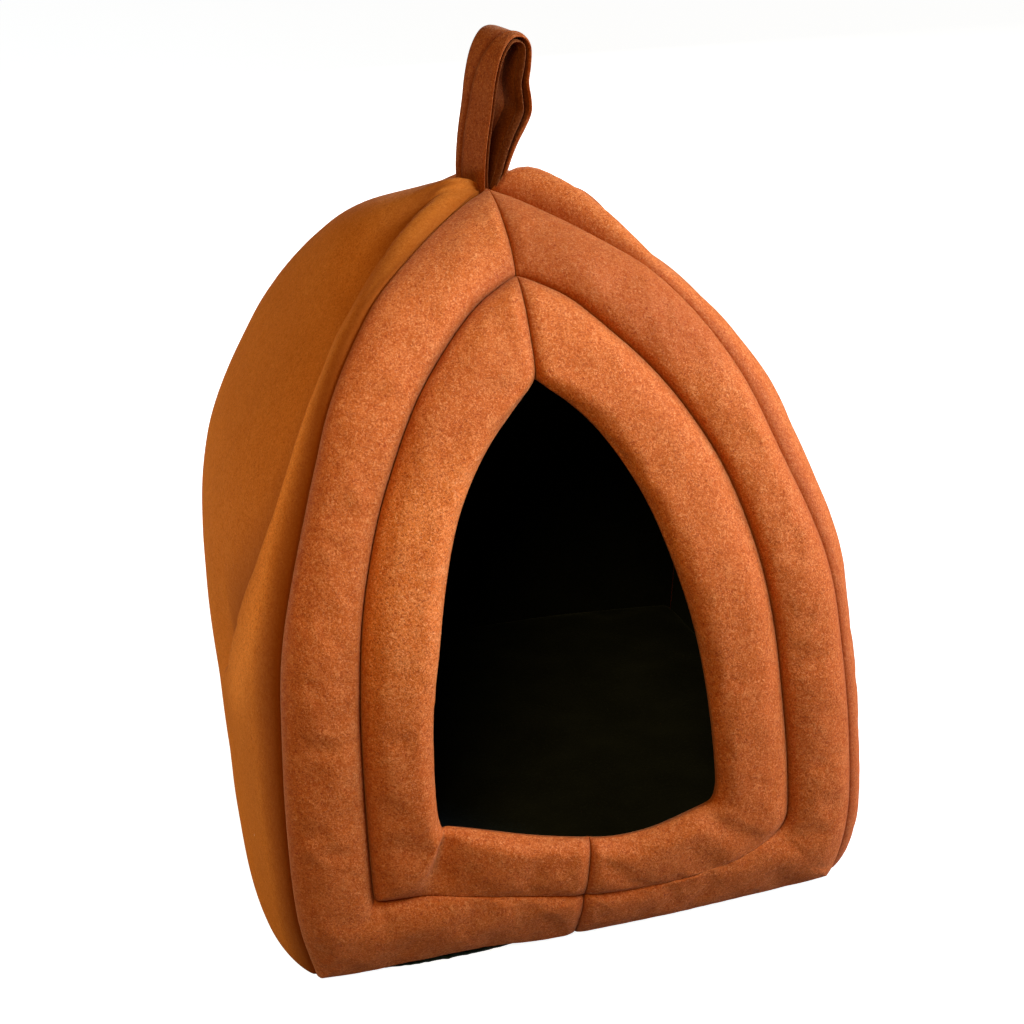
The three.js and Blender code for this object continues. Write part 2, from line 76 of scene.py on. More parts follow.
DOOR_BLUNT = 1.2
PAINTED_SHADE_INSIDE_FROM = 1.6
FOOT_ROUND = 16
FOOT_BLUNT = 4
LEFT_BLUNT = 9
FOOT_CORNER_ROUND = 42
FRONT_CORNER_ROUND = 16
FOOT_CORNER_HEIGHT = 40
FULLER_BELOW = 60
SWELL_ROWS = [
    # height, left wall, right and back walls, front
    [0, 18.6, 14, 1.6],
    [18, 14.9, 13, 5.8],
    [40, 11.4, 12, 10],
    [90, 10.2, 12, 10.6],
    [140, 13, 12, 10.3],
    [190, 14.4, 10.5, 9.6],
    [240, 12.5, 5, 8],
    [280, 3.5, 0.5, 6.4],
    [305, -0.5, -3.5, 5],
    [325, 1, -4, 3.6],
    [345, 6, 2, 1.7],
    [361, 1, 1, 0],
]
RISE_ROWS = [
    # height, left wall, right and back walls
    [0, 6.8, 10],
    [40, 7.2, 9],
    [110, 7.5, 7.8],
    [180, 7.5, 8],
    [230, 7, 10],
    [270, 6, 11],
    [295, 5.5, 7.5],
    [315, 6.5, 0],
    [332, 10.5, -1],
    [345, 16.5, 6.5],
    [354, 17, 12],
    [361, 15, 14],
]
REAR_FROM = 0.2
REAR_ROWS = [
    # height, how far the rear corners draw in
    [0, 0],
    [240, 0],
    [270, 0.8],
    [290, 2],
    [315, 2],
    [335, 1.2],
    [350, 0],
    [361, 0],
]
# Right wall near the tip: fuller towards the front, flatter towards the rear
ROOF_FULL = 1.6
ROOF_FULL_BELL = (-0.42, 0.27)
ROOF_FLAT = 6.5
ROOF_FLAT_SHARES = (-0.1, 0.7)
ROOF_TILT_BELL = (286, 26)
# Its rolled front edge, and the hollow behind it
EDGE_TUBE = 7.2
EDGE_TUBE_BELL = (330, 30, 4)
EDGE_TUBE_ENDS = (12, 32)
EDGE_BEHIND = 1.6
EDGE_BEHIND_BELL = (308, 38)
EDGE_BEHIND_SHARES = (-0.3, 0.2)
# Left wall near the tip: lower towards the front, with painted shade on its ridge
LEFT_LOWER = 5
LEFT_LOWER_HEIGHTS = (312, 335)
LEFT_LOWER_SHARES = (-0.2, 0.5)
TOP_PAINTED_SHADE = 1.8
TOP_PAINTED_SHADE_HEIGHTS = (320, 342)
TOP_PAINTED_SHADE_BEHIND = (-2, 4)
# Rings: painted shade on the outer ring at the upper right, painted light on the inner ring at the left of
# the door
RING_PAINTED_SHADE = 2.8
RING_PAINTED_SHADE_FROM = (283, 312)
PAINTED_LIGHT_HEIGHTS = (125, 190, 250, 292)
# Lean of the tip, and push of the upper left seam
LEAN = (4.5, -4.5)
LEAN_FROM = 240
PUSH_ROWS = [
    # height, push
    [0, 0],
    [275, 0],
    [300, 2.5],
    [320, 4],
    [335, 5.5],
    [346, 5.8],
    [354, 5.2],
    [360, 3.6],
    [380, 0],
]
PUSH_REACH = 15
PUSH_WAY = (-0.75, 0, 0.66)
# The front's lower right corner draws in
TUCK_HEIGHT = 24
TUCK_DEPTH = 2.6
TUCK_START = 0.1
# Base cloth, and its cut front edge, which turns up
CLOTH_THICK = 2
CLOTH_INSET = 0.5
TURN_UP = 4.6
TURN_UP_MIDDLE = -70
TURN_UP_REACH = 50
TURN_UP_FALL = 1.4
RIM_OUT = 7.4
RIM_LESS = 1.1
RIM_MOST = 4.2
SIDE_OUT = 0.72
SIDE_Z = 0.7
FRAY = 0.6
FRAY_FROM = 0.3
SIDE_FRAY = 0.5
BOTTOM_INSET = 1.5
HALFWAY = [[0.5, 0.5, 1]]
LEFT_ROWS = [
    # edge share, edge z, seam x, seam z, door x, door z, edge rise, seam rise, outer full, inner full
    [0, 361, 0, 337.5, 0, 300, 0, 0, 1, 1],
    [1, 357.5, 9, 335, 5, 295, 0, 0, 1, 1],
    [1, 351, 23, 329, 14, 287, 0, 0, 1, 1],
    [1, 341, 40, 316, 26, 275, 0, 0, 1, 1],
    [1, 326, 57, 297.5, 38, 258, 0, 0, 1, 1],
    [1, 305, 71, 274, 48, 238, 0, 0, 1, 1],
    [1, 277, 85, 243, 56.5, 212, 0, 0, 1, 1],
    [1, 240, 96.5, 206, 63, 183, 0, 0, 1, 1],
    [1, 195, 102.5, 166, 68, 157, 0, 0, 1, 1],
    [1, 145, 105.5, 125, 70.5, 131, 0, 0, 1, 1],
    [1, 95, 107, 88, 71.5, 111, 0, 0, 1, 1],
    [1, 52, 107.5, 64, 71.5, 99, 0, 0, 1, 1],
    [1, 24, 107.4, 55, 71, 94, 0, 0, 1, 1],
    [1, 0, 105.6, 52.2, 70.5, 91.5, 0, 0, 0.95, 1],
    [0.86, 0, 92, 52, 70, 90.5, 2, 0, 1, 0.95],
    [0.7, 0, 79, 51.8, 68.5, 90, 2, 2, 1, 0.45],
    [0.54, 0, 65, 50.5, 60, 88.5, 2, 4.6, 1, 0.8],
    [0.38, 0, 48, 47.5, 45, 84, 2, 5, 1, 1],
    [0.2, 0, 27, 42.5, 25, 77.5, 2, 4.6, 1, 1],
    [0.036, 0, 0.9, 36, -3.4, 70, 2, 3.5, 1, 1],
]
RIGHT_ROWS = [
    # edge share, edge z, seam x, seam z, door x, door z, edge rise, seam rise, outer full, inner full
    [0, 361, 0, 337.5, 0, 300, 0, 0, 1, 1],
    [1, 357.5, 9, 334.5, 6, 295, 0, 0, 1, 1],
    [1, 351, 23, 328, 16, 287, 0, 0, 1, 1],
    [1, 341, 39, 315, 27, 275, 0, 0, 1, 1],
    [1, 326, 57, 297.5, 38, 258, 0, 0, 1, 1],
    [1, 305, 73, 276, 48, 237, 0, 0, 1, 1],
    [1, 277, 88, 247.5, 56, 211, 0, 0, 1, 1],
    [1, 240, 99, 210, 63, 181, 0, 0, 1, 1],
    [1, 195, 105.5, 169, 67.5, 152, 0, 0, 1, 1],
    [1, 145, 108.5, 130, 70, 126, 0, 0, 1, 1],
    [1, 95, 110.5, 96, 71.5, 102, 0, 0, 1, 1],
    [1, 55, 111, 70, 72, 87, 0, 0, 1, 1],
    [1, 27, 110.5, 57, 71, 80, 0, 0, 1, 1],
    [1, 0, 106, 49.5, 68.5, 76, 0, 1, 1, 1],
    [0.84, 0, 97, 45, 63, 74, 0.5, 4.5, 1, 0.85],
    [0.68, 0, 85, 41, 56, 72.5, 0.5, 6, 1, 1],
    [0.52, 0, 66, 37, 46, 70, 0.5, 6.3, 1, 1],
    [0.36, 0, 47, 34.5, 35, 68, 0.5, 6, 1, 1],
    [0.18, 0, 25, 33.5, 19, 67.5, 0.5, 4.5, 1, 1],
    [-0.036, 0, -0.9, 36, 3.4, 70, 2, 3.5, 1, 1],
]
CORNER_ROW = 13
CREASE_ROWS = [
    # distance from the front seam, height
    [14, 354],
    [17.5, 335],
    [22, 315],
    [21, 295],
    [20, 270],
    [21, 247],
    [29, 222],
    [46, 192],
    [82, 146],
    [140, 105],
]
CREASE_DEPTH = 9
CREASE_EDGE = 4
CREASE_FADE = 40
CREASE_FULL_HALF = 60
CREASE_ENDS = (95, 150)
CREASE_NEAR = 48
# Painted light along the ridge in front of the crease
RIDGE_PAINTED_LIGHT = (105, 160, 285, 325)
RIDGE_TOP_LESS = 0.8
RIDGE_CROWN = (4, 16)
RIDGE_HALF = (5, 10)
RIDGE_EDGE = (-2, 2)
# Valley between seam and ridge, and heights between lower and upper fold
LOW_FOLD = (185, 250)
VALLEY_ROUND = 34
VALLEY_HEIGHTS = (60, 330)
VALLEY_SHADE = 0.42
VALLEY_SHADE_LOW = 0.22
# Shade of the crease, in the values of the seam layer
SHADE_AT = 0.7
SHADE_BEFORE = 0.7
SHADE_BEHIND = 0.11
SHADE_UPPER = 0.8
SHADE_GONE = 30
PAD_GAP = 1
PAD_EDGE_Z = 15
PAD_CROWN = 6
PAD_FREE = 3
PAD_ROWS = [
    # scale, inset beyond the gap, height
    [0.5, 1.5, FOOT],
    [0.97, 1.5, FOOT],
    [1, 1.5, FOOT],
    [1, 0, 6],
    [1, 0, 9],
    [1, 0.5, 12],
    [1, 2, PAD_EDGE_Z],
]
PAD_SHARES = [0.985, 0.96, 0.92, 0.87, 0.81, 0.74, 0.66, 0.57, 0.48, 0.38, 0.28, 0.18, 0.08]
LOOP_WIDTH = 28
LOOP_TURN = math.radians(-70)
LOOP_CORNER = (-10.2, 15.5, 360)
LOOP_ROWS = [
    # across, height above the tip, thickness, half width of the slit in the rim
    [2.6, -4, 3.4, 0.15],
    [2.8, 2, 3.4, 0.15],
    [3.4, 12, 3.3, 0.15],
    [5.6, 26, 3.2, 0.15],
    [9.4, 42, 3.2, 0.15],
    [12.2, 54.6, 3.4, 0.15],
    [16.6, 66.6, 3.8, 0.2],
    [22.8, 74, 4.4, 0.35],
    [28.8, 73.6, 5.2, 0.6],
    [32, 69, 5.8, 0.9],
    [31, 60, 6.6, 1.2],
    [29, 52, 7.4, 1.5],
    [29.6, 44, 8, 1.7],
    [29.6, 37.5, 8, 1.7],
    [26.2, 31.5, 7.6, 1.5],
    [21.6, 25, 7, 1.2],
    [17.4, 17.5, 6.2, 0.9],
    [13, 8, 5.6, 0.6],
    [10.2, 2, 5.2, 0.5],
    [9.2, -4, 5.2, 0.5],
]
LOOP_SLIT_DEPTHS = (6, LOOP_WIDTH / 2, 25)
LOOP_SLIT_IN = 1
LOOP_SLIT_OPEN = 0.1
LOOP_SLIT_END = 0.12
LOOP_LAYER_EDGE = 0.7
LOOP_ROUND = 2.5
LOOP_FOLD_ROWS = [
    # share of the length, distance of the fold's edge from the far edge
    [0, 6],
    [0.2, 6.6],
    [0.3, 8],
    [0.38, 11],
    [0.46, 17],
    [0.55, 22],
    [1, 22],
]
LOOP_FOLD_HALF = 1.2
LOOP_FOLD_DEPTH = 1.5
LOOP_FOLD_PROFILE = [
    # across in half widths of the fold, outward from the face
    [-1.5, -0.2],
    [-0.5, -0.7 * LOOP_FOLD_DEPTH],
    [0, -LOOP_FOLD_DEPTH],
    [0.7, 0.3],
    [2, 0.6],
]
LOOP_FOLD_AFTER = 0.2
LOOP_FOLD_SHADE = 1.2
LOOP_EDGE_THICK = 0.6
LOOP_SHOULDER = 0.75

# Steps in the rings, each along a line that fades out near its ends
LAP_LINE = (-71, 92, -80, 58)
LAP_DEPTH = 3
LAP_REACH = 8
LAP_EDGE = 0.8
LAP_STARTS = (-10, 2)
LAP_STOPS = (-12, 4)
DENT_LINE = (-106, 56, -103, 34)
DENT_DEPTH = 2
DENT_REACH = 3

# How finely the pieces are drawn
CLOSE_STEPS = [0, 0.4, 1.2, 2.4, 4, 6, 8.5]
RING_PER_ROW = 12
RING_SPACING = 4.2
RING_STEPS = 20
WALL_SPACING = 5.2
CREASE_SPACING = 2.4
CREASE_FINE_FROM = 11
FOOT_LEVELS = [0, 1, 2.5, 5, 8, 12, 16]
TIP_LEVELS = [341, 345, 349, 352, 355, 358, 361]
LOOP_PER_ROW = 10
LOOP_SPACING = 2.2
PAD_SPACING = 6
CLOTH_SPACING = 2.5

# Seam layer: the distance from a seam, lowered further where shade is painted. From SEAM_CLEAR on, the nap
# isn't flattened and no shade is painted
SEAM_CLEAR = 4.0
NO_SEAM = 20.0
SHALLOW_CLEARER = 0.9

# Free layer: distances from a seam, or heights, between held and free to swell
RING_FREE = (0.8, 9)
WALL_FREE = (1, 12)
WALL_FREE_FOOT = (1, 14)
WALL_FREE_TIP = (318, 345)

# Swelling in mm at most, and waves as length and height
RING_CAP = 2
WALL_CAPS = [1.5, 1.5, 0.8]
PAD_CAP = 2
HOLD_LEVELS = 10
SWELL_FRAMES = 20
RING_WAVES = [(46, 0.26), (19, 0.09)]
WALL_WAVES = [(80, 0.3), (34, 0.15)]
PAD_WAVES = [(60, 0.8), (25, 0.3)]
RING_SEED = 20
WALL_SEED = 60
PAD_SEED = 90
SEED_STEP = 5
WAVE_COUNT = 14
WAVE_SPREAD = (0.75, 1.35)
FRAY_SEED = 7

# Walls: angle about Z from the front, side of the drawn-in corner, columns of the tables
FRONT = {"turn": 0.0, "tuck": 1, "swell": 3}
RIGHT = {"turn": math.pi / 2, "tuck": -1, "swell": 2, "rise": 2, "front_side": -1, "rear": 1}
BACK = {"turn": math.pi, "tuck": 0, "swell": 2, "rise": 2, "front_side": 0, "rear": 0}
LEFT = {"turn": -math.pi / 2, "tuck": 0, "swell": 1, "rise": 1, "front_side": 1, "rear": -1}


# Shape functions, after the part's own source
def refine(rows, per_row):
    rows = np.array(rows, float)
    result = []
    for i in range(len(rows) - 1):
        before = rows[max(i - 1, 0)]
        after = rows[min(i + 2, len(rows) - 1)]
        start = rows[i]
        stop = rows[i + 1]
        for step in range(per_row):
            share = step / per_row
            bend = (stop - before) * share + (2 * before - 5 * start + 4 * stop - after) * share ** 2
            result.append(start + 0.5 * (bend + (3 * start - before - 3 * stop + after) * share ** 3))
    result.append(rows[-1])
    return np.array(result)


def column_at(rows, column, z):
    table = np.array(rows, float)
    heights = table[:, 0]
    values = table[:, column]
    z = np.asarray(z, float)
    count = len(heights)
    i = np.clip(np.searchsorted(heights, z, side="right") - 1, 0, count - 2)
    low = np.maximum(np.arange(count) - 1, 0)
    high = np.minimum(np.arange(count) + 1, count - 1)
    slope = (values[high] - values[low]) / (heights[high] - heights[low])
    span = heights[i + 1] - heights[i]
    share = (z - heights[i]) / span
    leaving = slope[i] * span
    arriving = slope[i + 1] * span
    rise = values[i + 1] - values[i]
    square = 3 * rise - 2 * leaving - arriving
    cube = leaving + arriving - 2 * rise
    return values[i] + share * (leaving + share * (square + share * cube))


def wall_half(z):
    return column_at(WALL_ROWS, 1, z)


def wall_normal(z):
    z = np.asarray(z, float)
    slope = wall_half(z + 0.5) - wall_half(z - 0.5)
    length = np.sqrt(1 + slope ** 2)
    return 1 / length, -slope / length


def pillow(distance, reach):
    left = 1 - np.clip(np.asarray(distance, float) / reach, 0, 1)
    return np.sqrt(1 - left ** 2)


def smoothstep(value, low, high):
    share = np.clip((np.asarray(value, float) - low) / (high - low), 0, 1)
    return share * share * (3 - 2 * share)


def bell(value, middle, half, power=2):
    return np.exp(-((value - middle) / half) ** power)


def tuck(z, share):
    return TUCK_DEPTH * smoothstep(share, TUCK_START, 1) * (1 - pillow(z, TUCK_HEIGHT))


def turn_up(x):
    reach = np.clip((x - TURN_UP_MIDDLE) / TURN_UP_REACH, -1, 1)
    return TURN_UP * (1 - reach ** 2) ** TURN_UP_FALL


def leaning(z):
    return np.maximum((z - LEAN_FROM) / (TIP - LEAN_FROM), 0) ** 2


# How far the padded front pushes its upper left seam outwards, for points in mm
def seam_push(points):
    x, y, z = np.moveaxis(points, -1, 0)
    high = leaning(z)
    half = wall_half(z)
    away = np.hypot(x + half - high * LEAN[0], y + half - high * LEAN[1])
    push = column_at(PUSH_ROWS, 1, z) * bell(away, 0, PUSH_REACH)
    return push[..., None] * np.array(PUSH_WAY)


# Point of a wall, rise outside the plane of its seams
# slant: how far the inner edge of a corner seam reaches past its outer edge, to hide the gap
def wall_point(wall, share, z, rise, slant=0.0):
    share, z, rise = np.broadcast_arrays(np.asarray(share, float), np.asarray(z, float), rise)
    half = wall_half(z) - tuck(z, share * wall["tuck"])
    if "rear" in wall:
        rear = np.abs(share) if wall["rear"] == 0 else share * wall["rear"]
        half = half - column_at(REAR_ROWS, 1, z) * smoothstep(rear, REAR_FROM, 1)
    out, up = wall_normal(z)
    depth = np.maximum(half + rise * out, half / 2)
    fuller = 1 - np.abs(share) ** 3 if wall is LEFT else 1 - share ** 2
    low = 1 - smoothstep(z, 0, FULLER_BELOW)
    swell = column_at(SWELL_ROWS, wall["swell"], z) * ((1 - share ** 2) * (1 - low) + fuller * low)
    past = slant * np.abs(share) ** SLANT_POWER * np.minimum(half / SLANT_FULL_HALF, 1)
    x = share * (np.minimum(half, depth) - HALF_GAP * math.sqrt(2) + past)
    y = -(depth + swell)
    floor = FOOT + (turn_up(x) if wall is FRONT else 0)
    height = np.maximum(z + rise * up, floor)
    high = leaning(height)
    cos = math.cos(-wall["turn"])
    sin = math.sin(-wall["turn"])
    x = x + high * (LEAN[0] * cos - LEAN[1] * sin)
    y = y + high * (LEAN[0] * sin + LEAN[1] * cos)
    return np.stack([x, y, height], axis=-1)


def turned(points, angle):
    cos = math.cos(angle)
    sin = math.sin(angle)
    x = points[..., 0] * cos - points[..., 1] * sin
    y = points[..., 0] * sin + points[..., 1] * cos
    return np.stack([x, y, points[..., 2]], axis=-1)


def crease_depth(from_seam, z):
    nearest = np.full(from_seam.shape, np.inf)
    sign = np.ones(from_seam.shape)
    for start, stop in zip(CREASE_ROWS[:-1], CREASE_ROWS[1:]):
        step_x = stop[0] - start[0]
        step_z = stop[1] - start[1]
        off_x = from_seam - start[0]
        off_z = z - start[1]
        share = np.clip((off_x * step_x + off_z * step_z) / (step_x ** 2 + step_z ** 2), 0, 1)
        gap_x = off_x - share * step_x
        gap_z = off_z - share * step_z
        gap = np.hypot(gap_x, gap_z)
        side = np.sign(step_x * gap_z - step_z * gap_x)
        side[side == 0] = 1
        closer = gap < nearest
        nearest[closer] = gap[closer]
        sign[closer] = side[closer]
    behind = sign * nearest
    fade = bell(np.maximum(behind - CREASE_EDGE, 0), 0, CREASE_FADE)
    return CREASE_DEPTH * smoothstep(behind, 0, CREASE_EDGE) * fade, behind


# Padding of a side or back wall: its rise and its layers
def wall_padding(wall, share, z):
    half = wall_half(z)
    at_front = share * wall["front_side"] > 0
    front_round = WALL_ROUND
    corner = np.where(at_front, FRONT_CORNER_ROUND, FOOT_CORNER_ROUND)
    if wall is LEFT:
        front_round = WALL_ROUND + (VALLEY_ROUND - WALL_ROUND) * (1 - smoothstep(z, *VALLEY_HEIGHTS))
        corner = FOOT_CORNER_ROUND
    upper = np.where(at_front, front_round, REAR_ROUND)
    reach = corner + (upper - corner) * smoothstep(z, 0, FOOT_CORNER_HEIGHT)
    from_seam = (1 - np.abs(share)) * half
    seam = pillow(from_seam, np.minimum(reach, half))
    foot = pillow(z + (LEFT_BLUNT if wall is LEFT else FOOT_BLUNT), FOOT_ROUND)
    most = column_at(RISE_ROWS, wall["rise"], z) * np.sqrt(np.minimum(half / WALL_ROUND, 1))
    if wall is LEFT:
        most = most - LEFT_LOWER * smoothstep(z, *LEFT_LOWER_HEIGHTS) * smoothstep(share, *LEFT_LOWER_SHARES)
        from_front = (1 - share) * half
        pressed, behind = crease_depth(from_front, z)
        ends = 1 - smoothstep(from_front, *CREASE_ENDS)
        pressed = pressed * np.minimum(half / CREASE_FULL_HALF, 1) * ends
        # Painted shade beside the crease and in the valley, as low values of the seam layer
        beyond = behind - SHADE_AT * CREASE_EDGE
        beside = np.where(beyond > 0, SHADE_BEHIND * beyond, -SHADE_BEFORE * beyond)
        beside = beside + SHADE_GONE * (1 - ends)
        low = 1 - smoothstep(z, *LOW_FOLD)
        valley = np.where(share > 0, VALLEY_SHADE - VALLEY_SHADE_LOW * low, 1) * from_seam
        shade = np.minimum(valley, SHADE_UPPER * (1 - low) + beside)
        # Painted shade on the ridge near the tip
        top_shade = smoothstep(z, *TOP_PAINTED_SHADE_HEIGHTS) * (1 - smoothstep(behind, *TOP_PAINTED_SHADE_BEHIND))
        shade = np.minimum(shade, SEAM_CLEAR - TOP_PAINTED_SHADE * top_shade)
        # Painted light along the ridge
        crown = (behind + RIDGE_CROWN[0] + RIDGE_CROWN[1] * low) / (RIDGE_HALF[0] + RIDGE_HALF[1] * low)
        ridge = bell(crown, 0, 1) * (1 - smoothstep(behind, *RIDGE_EDGE))
        less = RIDGE_TOP_LESS * smoothstep(z, *RIDGE_PAINTED_LIGHT[2:])
        ridge = ridge * smoothstep(z, *RIDGE_PAINTED_LIGHT[:2]) * (1 - less)
        return (most * foot - pressed) * seam, {"seam": shade, "ridge": ridge}
    if wall is RIGHT:
        fuller = ROOF_FULL * bell(share, *ROOF_FULL_BELL) - ROOF_FLAT * smoothstep(share, *ROOF_FLAT_SHARES)
        most = most + fuller * bell(z, *ROOF_TILT_BELL)
        inwards = smoothstep((1 + share) * half, *EDGE_TUBE_ENDS)
        most = most + EDGE_TUBE * bell(z, *EDGE_TUBE_BELL) * (1 - inwards)
        sunk = EDGE_BEHIND * bell(z, *EDGE_BEHIND_BELL) * (1 - smoothstep(share, *EDGE_BEHIND_SHARES))
        most = most - sunk * inwards
    return most * foot * seam, {"seam": from_seam}


# A step along a line, as where the upright tube laps over the sill at the door's lower left
def lap_depth(x, z, line, depth, reach):
    start_x, start_z, stop_x, stop_z = line
    length = math.hypot(stop_x - start_x, stop_z - start_z)
    step_x = (stop_x - start_x) / length
    step_z = (stop_z - start_z) / length
    along = (x - start_x) * step_x + (z - start_z) * step_z
    beside = (x - start_x) * -step_z + (z - start_z) * step_x
    near = np.where(beside > 0, np.exp(-beside / reach), bell(beside, 0, LAP_EDGE))
    stops = [length + past for past in LAP_STOPS]
    ends = smoothstep(along, *LAP_STARTS) * (1 - smoothstep(along, *stops))
    return depth * near * ends


# Closed strips of quads through sections of equal length, with a cap at both ends
def loft(sections):
    rows, count = sections.shape[:2]
    here = np.arange(count)
    after = (here + 1) % count
    quads = []
    for s in range(rows - 1):
        low = s * count
        high = low + count
        quads.append(np.stack([low + here, low + after, high + after, high + here], axis=1))
    i = np.arange(count // 2 - 1)
    end = (rows - 1) * count
    quads.append(np.stack([count - 1 - i, count - 2 - i, i + 1, i], axis=1))
    quads.append(np.stack([end + i, end + i + 1, end + count - 2 - i, end + count - 1 - i], axis=1))
    return sections.reshape(-1, 3), np.concatenate(quads)


def volume(points, quads):
    a, b, c, d = (points[quads[:, k]] for k in range(4))
    first = np.einsum("ij,ij->i", a, np.cross(b, c)).sum()
    return first + np.einsum("ij,ij->i", a, np.cross(c, d)).sum()


# Makes an object from points in millimetres and quads, each layer with a value for each point
# marks: for each further slot, the points whose faces take it
def make_piece(name, points, quads, layers, marks, finishes):
    if volume(points, quads) < 0:
        quads = quads[:, ::-1]
    mesh = bpy.data.meshes.new(name)
    mesh.from_pydata((points * MM).tolist(), [], quads.tolist())
    for finish in finishes:
        mesh.materials.append(finish)
    for key, values in layers.items():
        layer = mesh.attributes.new(key, "FLOAT", "POINT")
        layer.data.foreach_set("value", np.asarray(values, np.float32).ravel())
    slots = np.zeros(len(quads), np.int32)
    for slot, marked in enumerate(marks, 1):
        slots[marked.ravel()[quads].all(axis=1)] = slot
    mesh.polygons.foreach_set("material_index", slots)
    mesh.polygons.foreach_set("use_smooth", np.ones(len(quads), bool))
    mesh.update()
    piece = bpy.data.objects.new(name, mesh)
    bpy.context.scene.collection.objects.link(piece)
    return piece


# The same for a loft of an outer and an inner half, each layer 0 on the inner half
def loft_piece(name, sections, layers, marks, finishes):
    points, quads = loft(sections)
    whole = {key: np.concatenate([values, 0 * values], axis=1) for key, values in layers.items()}
    return make_piece(name, points, quads, whole, marks, finishes)


# Three numbers of each item, such as the place of each vertex
def vectors(items, key="co"):
    flat = np.empty(3 * len(items), np.float32)
    items.foreach_get(key, flat)
    return flat.reshape(-1, 3).astype(float)


def free_of(piece):
    values = np.empty(len(piece.data.vertices), np.float32)
    piece.data.attributes["free"].data.foreach_get("value", values)
    return values.astype(float)


def set_points(piece, points):
    piece.data.vertices.foreach_set("co", points.astype(np.float32).ravel())
    piece.data.update()


# Places along a length, closer at its start and, if wanted, at its stop
def spaced(length, spacing, fine_stop):
    first = [value for value in CLOSE_STEPS if value < length / 2]
    last = [length - value for value in first] if fine_stop else [length]
    between = max(int(round((last[-1] - first[-1]) / spacing)), 1)
    middle = np.linspace(first[-1], last[-1], between + 1)[1:-1]
    return np.concatenate([first, middle, last[::-1]])


# Half of a front ring, side -1 left or 1 right, inner for the ring at the door
def ring_half(name, rows, side, inner, finishes):
    fine = refine(rows, RING_PER_ROW)
    edge_z = np.maximum(fine[:, 1], 0)
    edge = np.stack([np.minimum(fine[:, 0], 1) * wall_half(edge_z), edge_z], axis=1)
    seam = fine[:, 2:4]
    door = fine[:, 4:6]
    start, stop = (seam, door) if inner else (edge, seam)
    reach = stop - start
    # The rings nearly touch where their seam is shallow
    gap = RING_GAP * (1 - RING_GAP_CLOSED * smoothstep(fine[:, 7], *RING_GAP_RISES))
    inward = reach / np.linalg.norm(reach, axis=1)[:, None] * gap[:, None]
    start, stop = (start + inward, stop) if inner else (start, stop - inward)
    data = np.concatenate([start, stop, fine[:, 6:10]], axis=1)
    middle = (start + stop) / 2
    travelled = np.concatenate([[0], np.cumsum(np.linalg.norm(np.diff(middle, axis=0), axis=1))])
    corner = travelled[CORNER_ROW * RING_PER_ROW]
    whole = travelled[-1]
    places = np.concatenate([
        spaced(corner, RING_SPACING, True),
        corner + spaced(whole - corner, RING_SPACING, True)[1:],
    ])
    data = np.stack([np.interp(places, travelled, data[:, k]) for k in range(data.shape[1])], axis=1)
    data[0, [0, 2]] += HALF_GAP
    data[-1, [0, 2]] += HALF_GAP
    share = (1 - np.cos(np.pi * np.arange(RING_STEPS + 1) / RING_STEPS))[None, :] / 2
    start = data[:, None, 0:2]
    stop = data[:, None, 2:4]
    width = np.linalg.norm(stop - start, axis=2)
    spot = start + (stop - start) * share[:, :, None]
    from_start = share * width
    from_stop = width - from_start
    from_end = np.minimum(places, whole - places)[:, None]
    ending = END_KEPT + (1 - END_KEPT) * pillow(from_end, END_ROUND)
    station_full = data[:, 7:8] if inner else data[:, 6:7]
    start_rise = data[:, 5:6] if inner else data[:, 4:5]
    stop_rise = np.zeros_like(start_rise) if inner else data[:, 5:6]
    edge_reach = RING_ROUND * width
    full = pillow(from_start, edge_reach) * ending
    if not inner:
        full = full * pillow(from_stop, edge_reach)
    edge_rise = (start_rise + (stop_rise - start_rise) * share) * ending
    rise = RING_RISE * station_full * full + edge_rise * (1 - full)
    if side < 0:
        step = (LAP_LINE, LAP_DEPTH, LAP_REACH) if inner else (DENT_LINE, DENT_DEPTH, DENT_REACH)
        rise = rise - lap_depth(side * spot[..., 0], spot[..., 1], *step) * full
    depth = np.full(rise.shape, -SEAM_THICK)
    shallow = SHALLOW_CLEARER * data[:, 5:6]
    seam_gap = np.minimum(from_start + (shallow if inner else 0), from_end)
    if inner:
        roll_middle = (RING_RISE * ending * station_full - SEAM_THICK) / 2
        roll_half = roll_middle + SEAM_THICK
        roll = np.maximum(roll_half * pillow(from_stop, DOOR_ROLL), DOOR_BLUNT)
        near = from_stop < DOOR_ROLL
        rise = np.where(near, np.minimum(rise, roll_middle + roll), rise)
        depth = np.where(near, roll_middle - roll, depth)
    else:
        seam_gap = np.minimum(seam_gap, from_stop + shallow)
    x = side * spot[..., 0] / wall_half(spot[..., 1])
    outer = wall_point(FRONT, x, spot[..., 1], rise)
    back = wall_point(FRONT, x, spot[..., 1], depth, -SEAM_SLANT)
    sections = np.concatenate([outer, back[:, ::-1]], axis=1)
    # Near-black inner faces, painted shade for the dark inside
    painted_shade_inside = (from_stop > PAINTED_SHADE_INSIDE_FROM * DOOR_ROLL) if inner else np.ones(seam_gap.shape, bool)
    hidden = np.concatenate([np.zeros_like(painted_shade_inside), painted_shade_inside[:, ::-1]], axis=1)
    free = smoothstep(seam_gap, *RING_FREE)
    # Painted shade on the outer right ring near the top
    if side > 0 and not inner:
        painted_shade = smoothstep(spot[..., 1], *RING_PAINTED_SHADE_FROM)
        seam_gap = np.minimum(seam_gap, SEAM_CLEAR - RING_PAINTED_SHADE * painted_shade)
    layers = {"seam": seam_gap, "free": free}
    # Painted light on the inner left ring, through the ridge layer
    if side < 0 and inner:
        painted_lighter = smoothstep(spot[..., 1], *PAINTED_LIGHT_HEIGHTS[:2])
        layers["ridge"] = painted_lighter * (1 - smoothstep(spot[..., 1], *PAINTED_LIGHT_HEIGHTS[2:]))
    return loft_piece(name, sections, layers, [hidden], finishes)


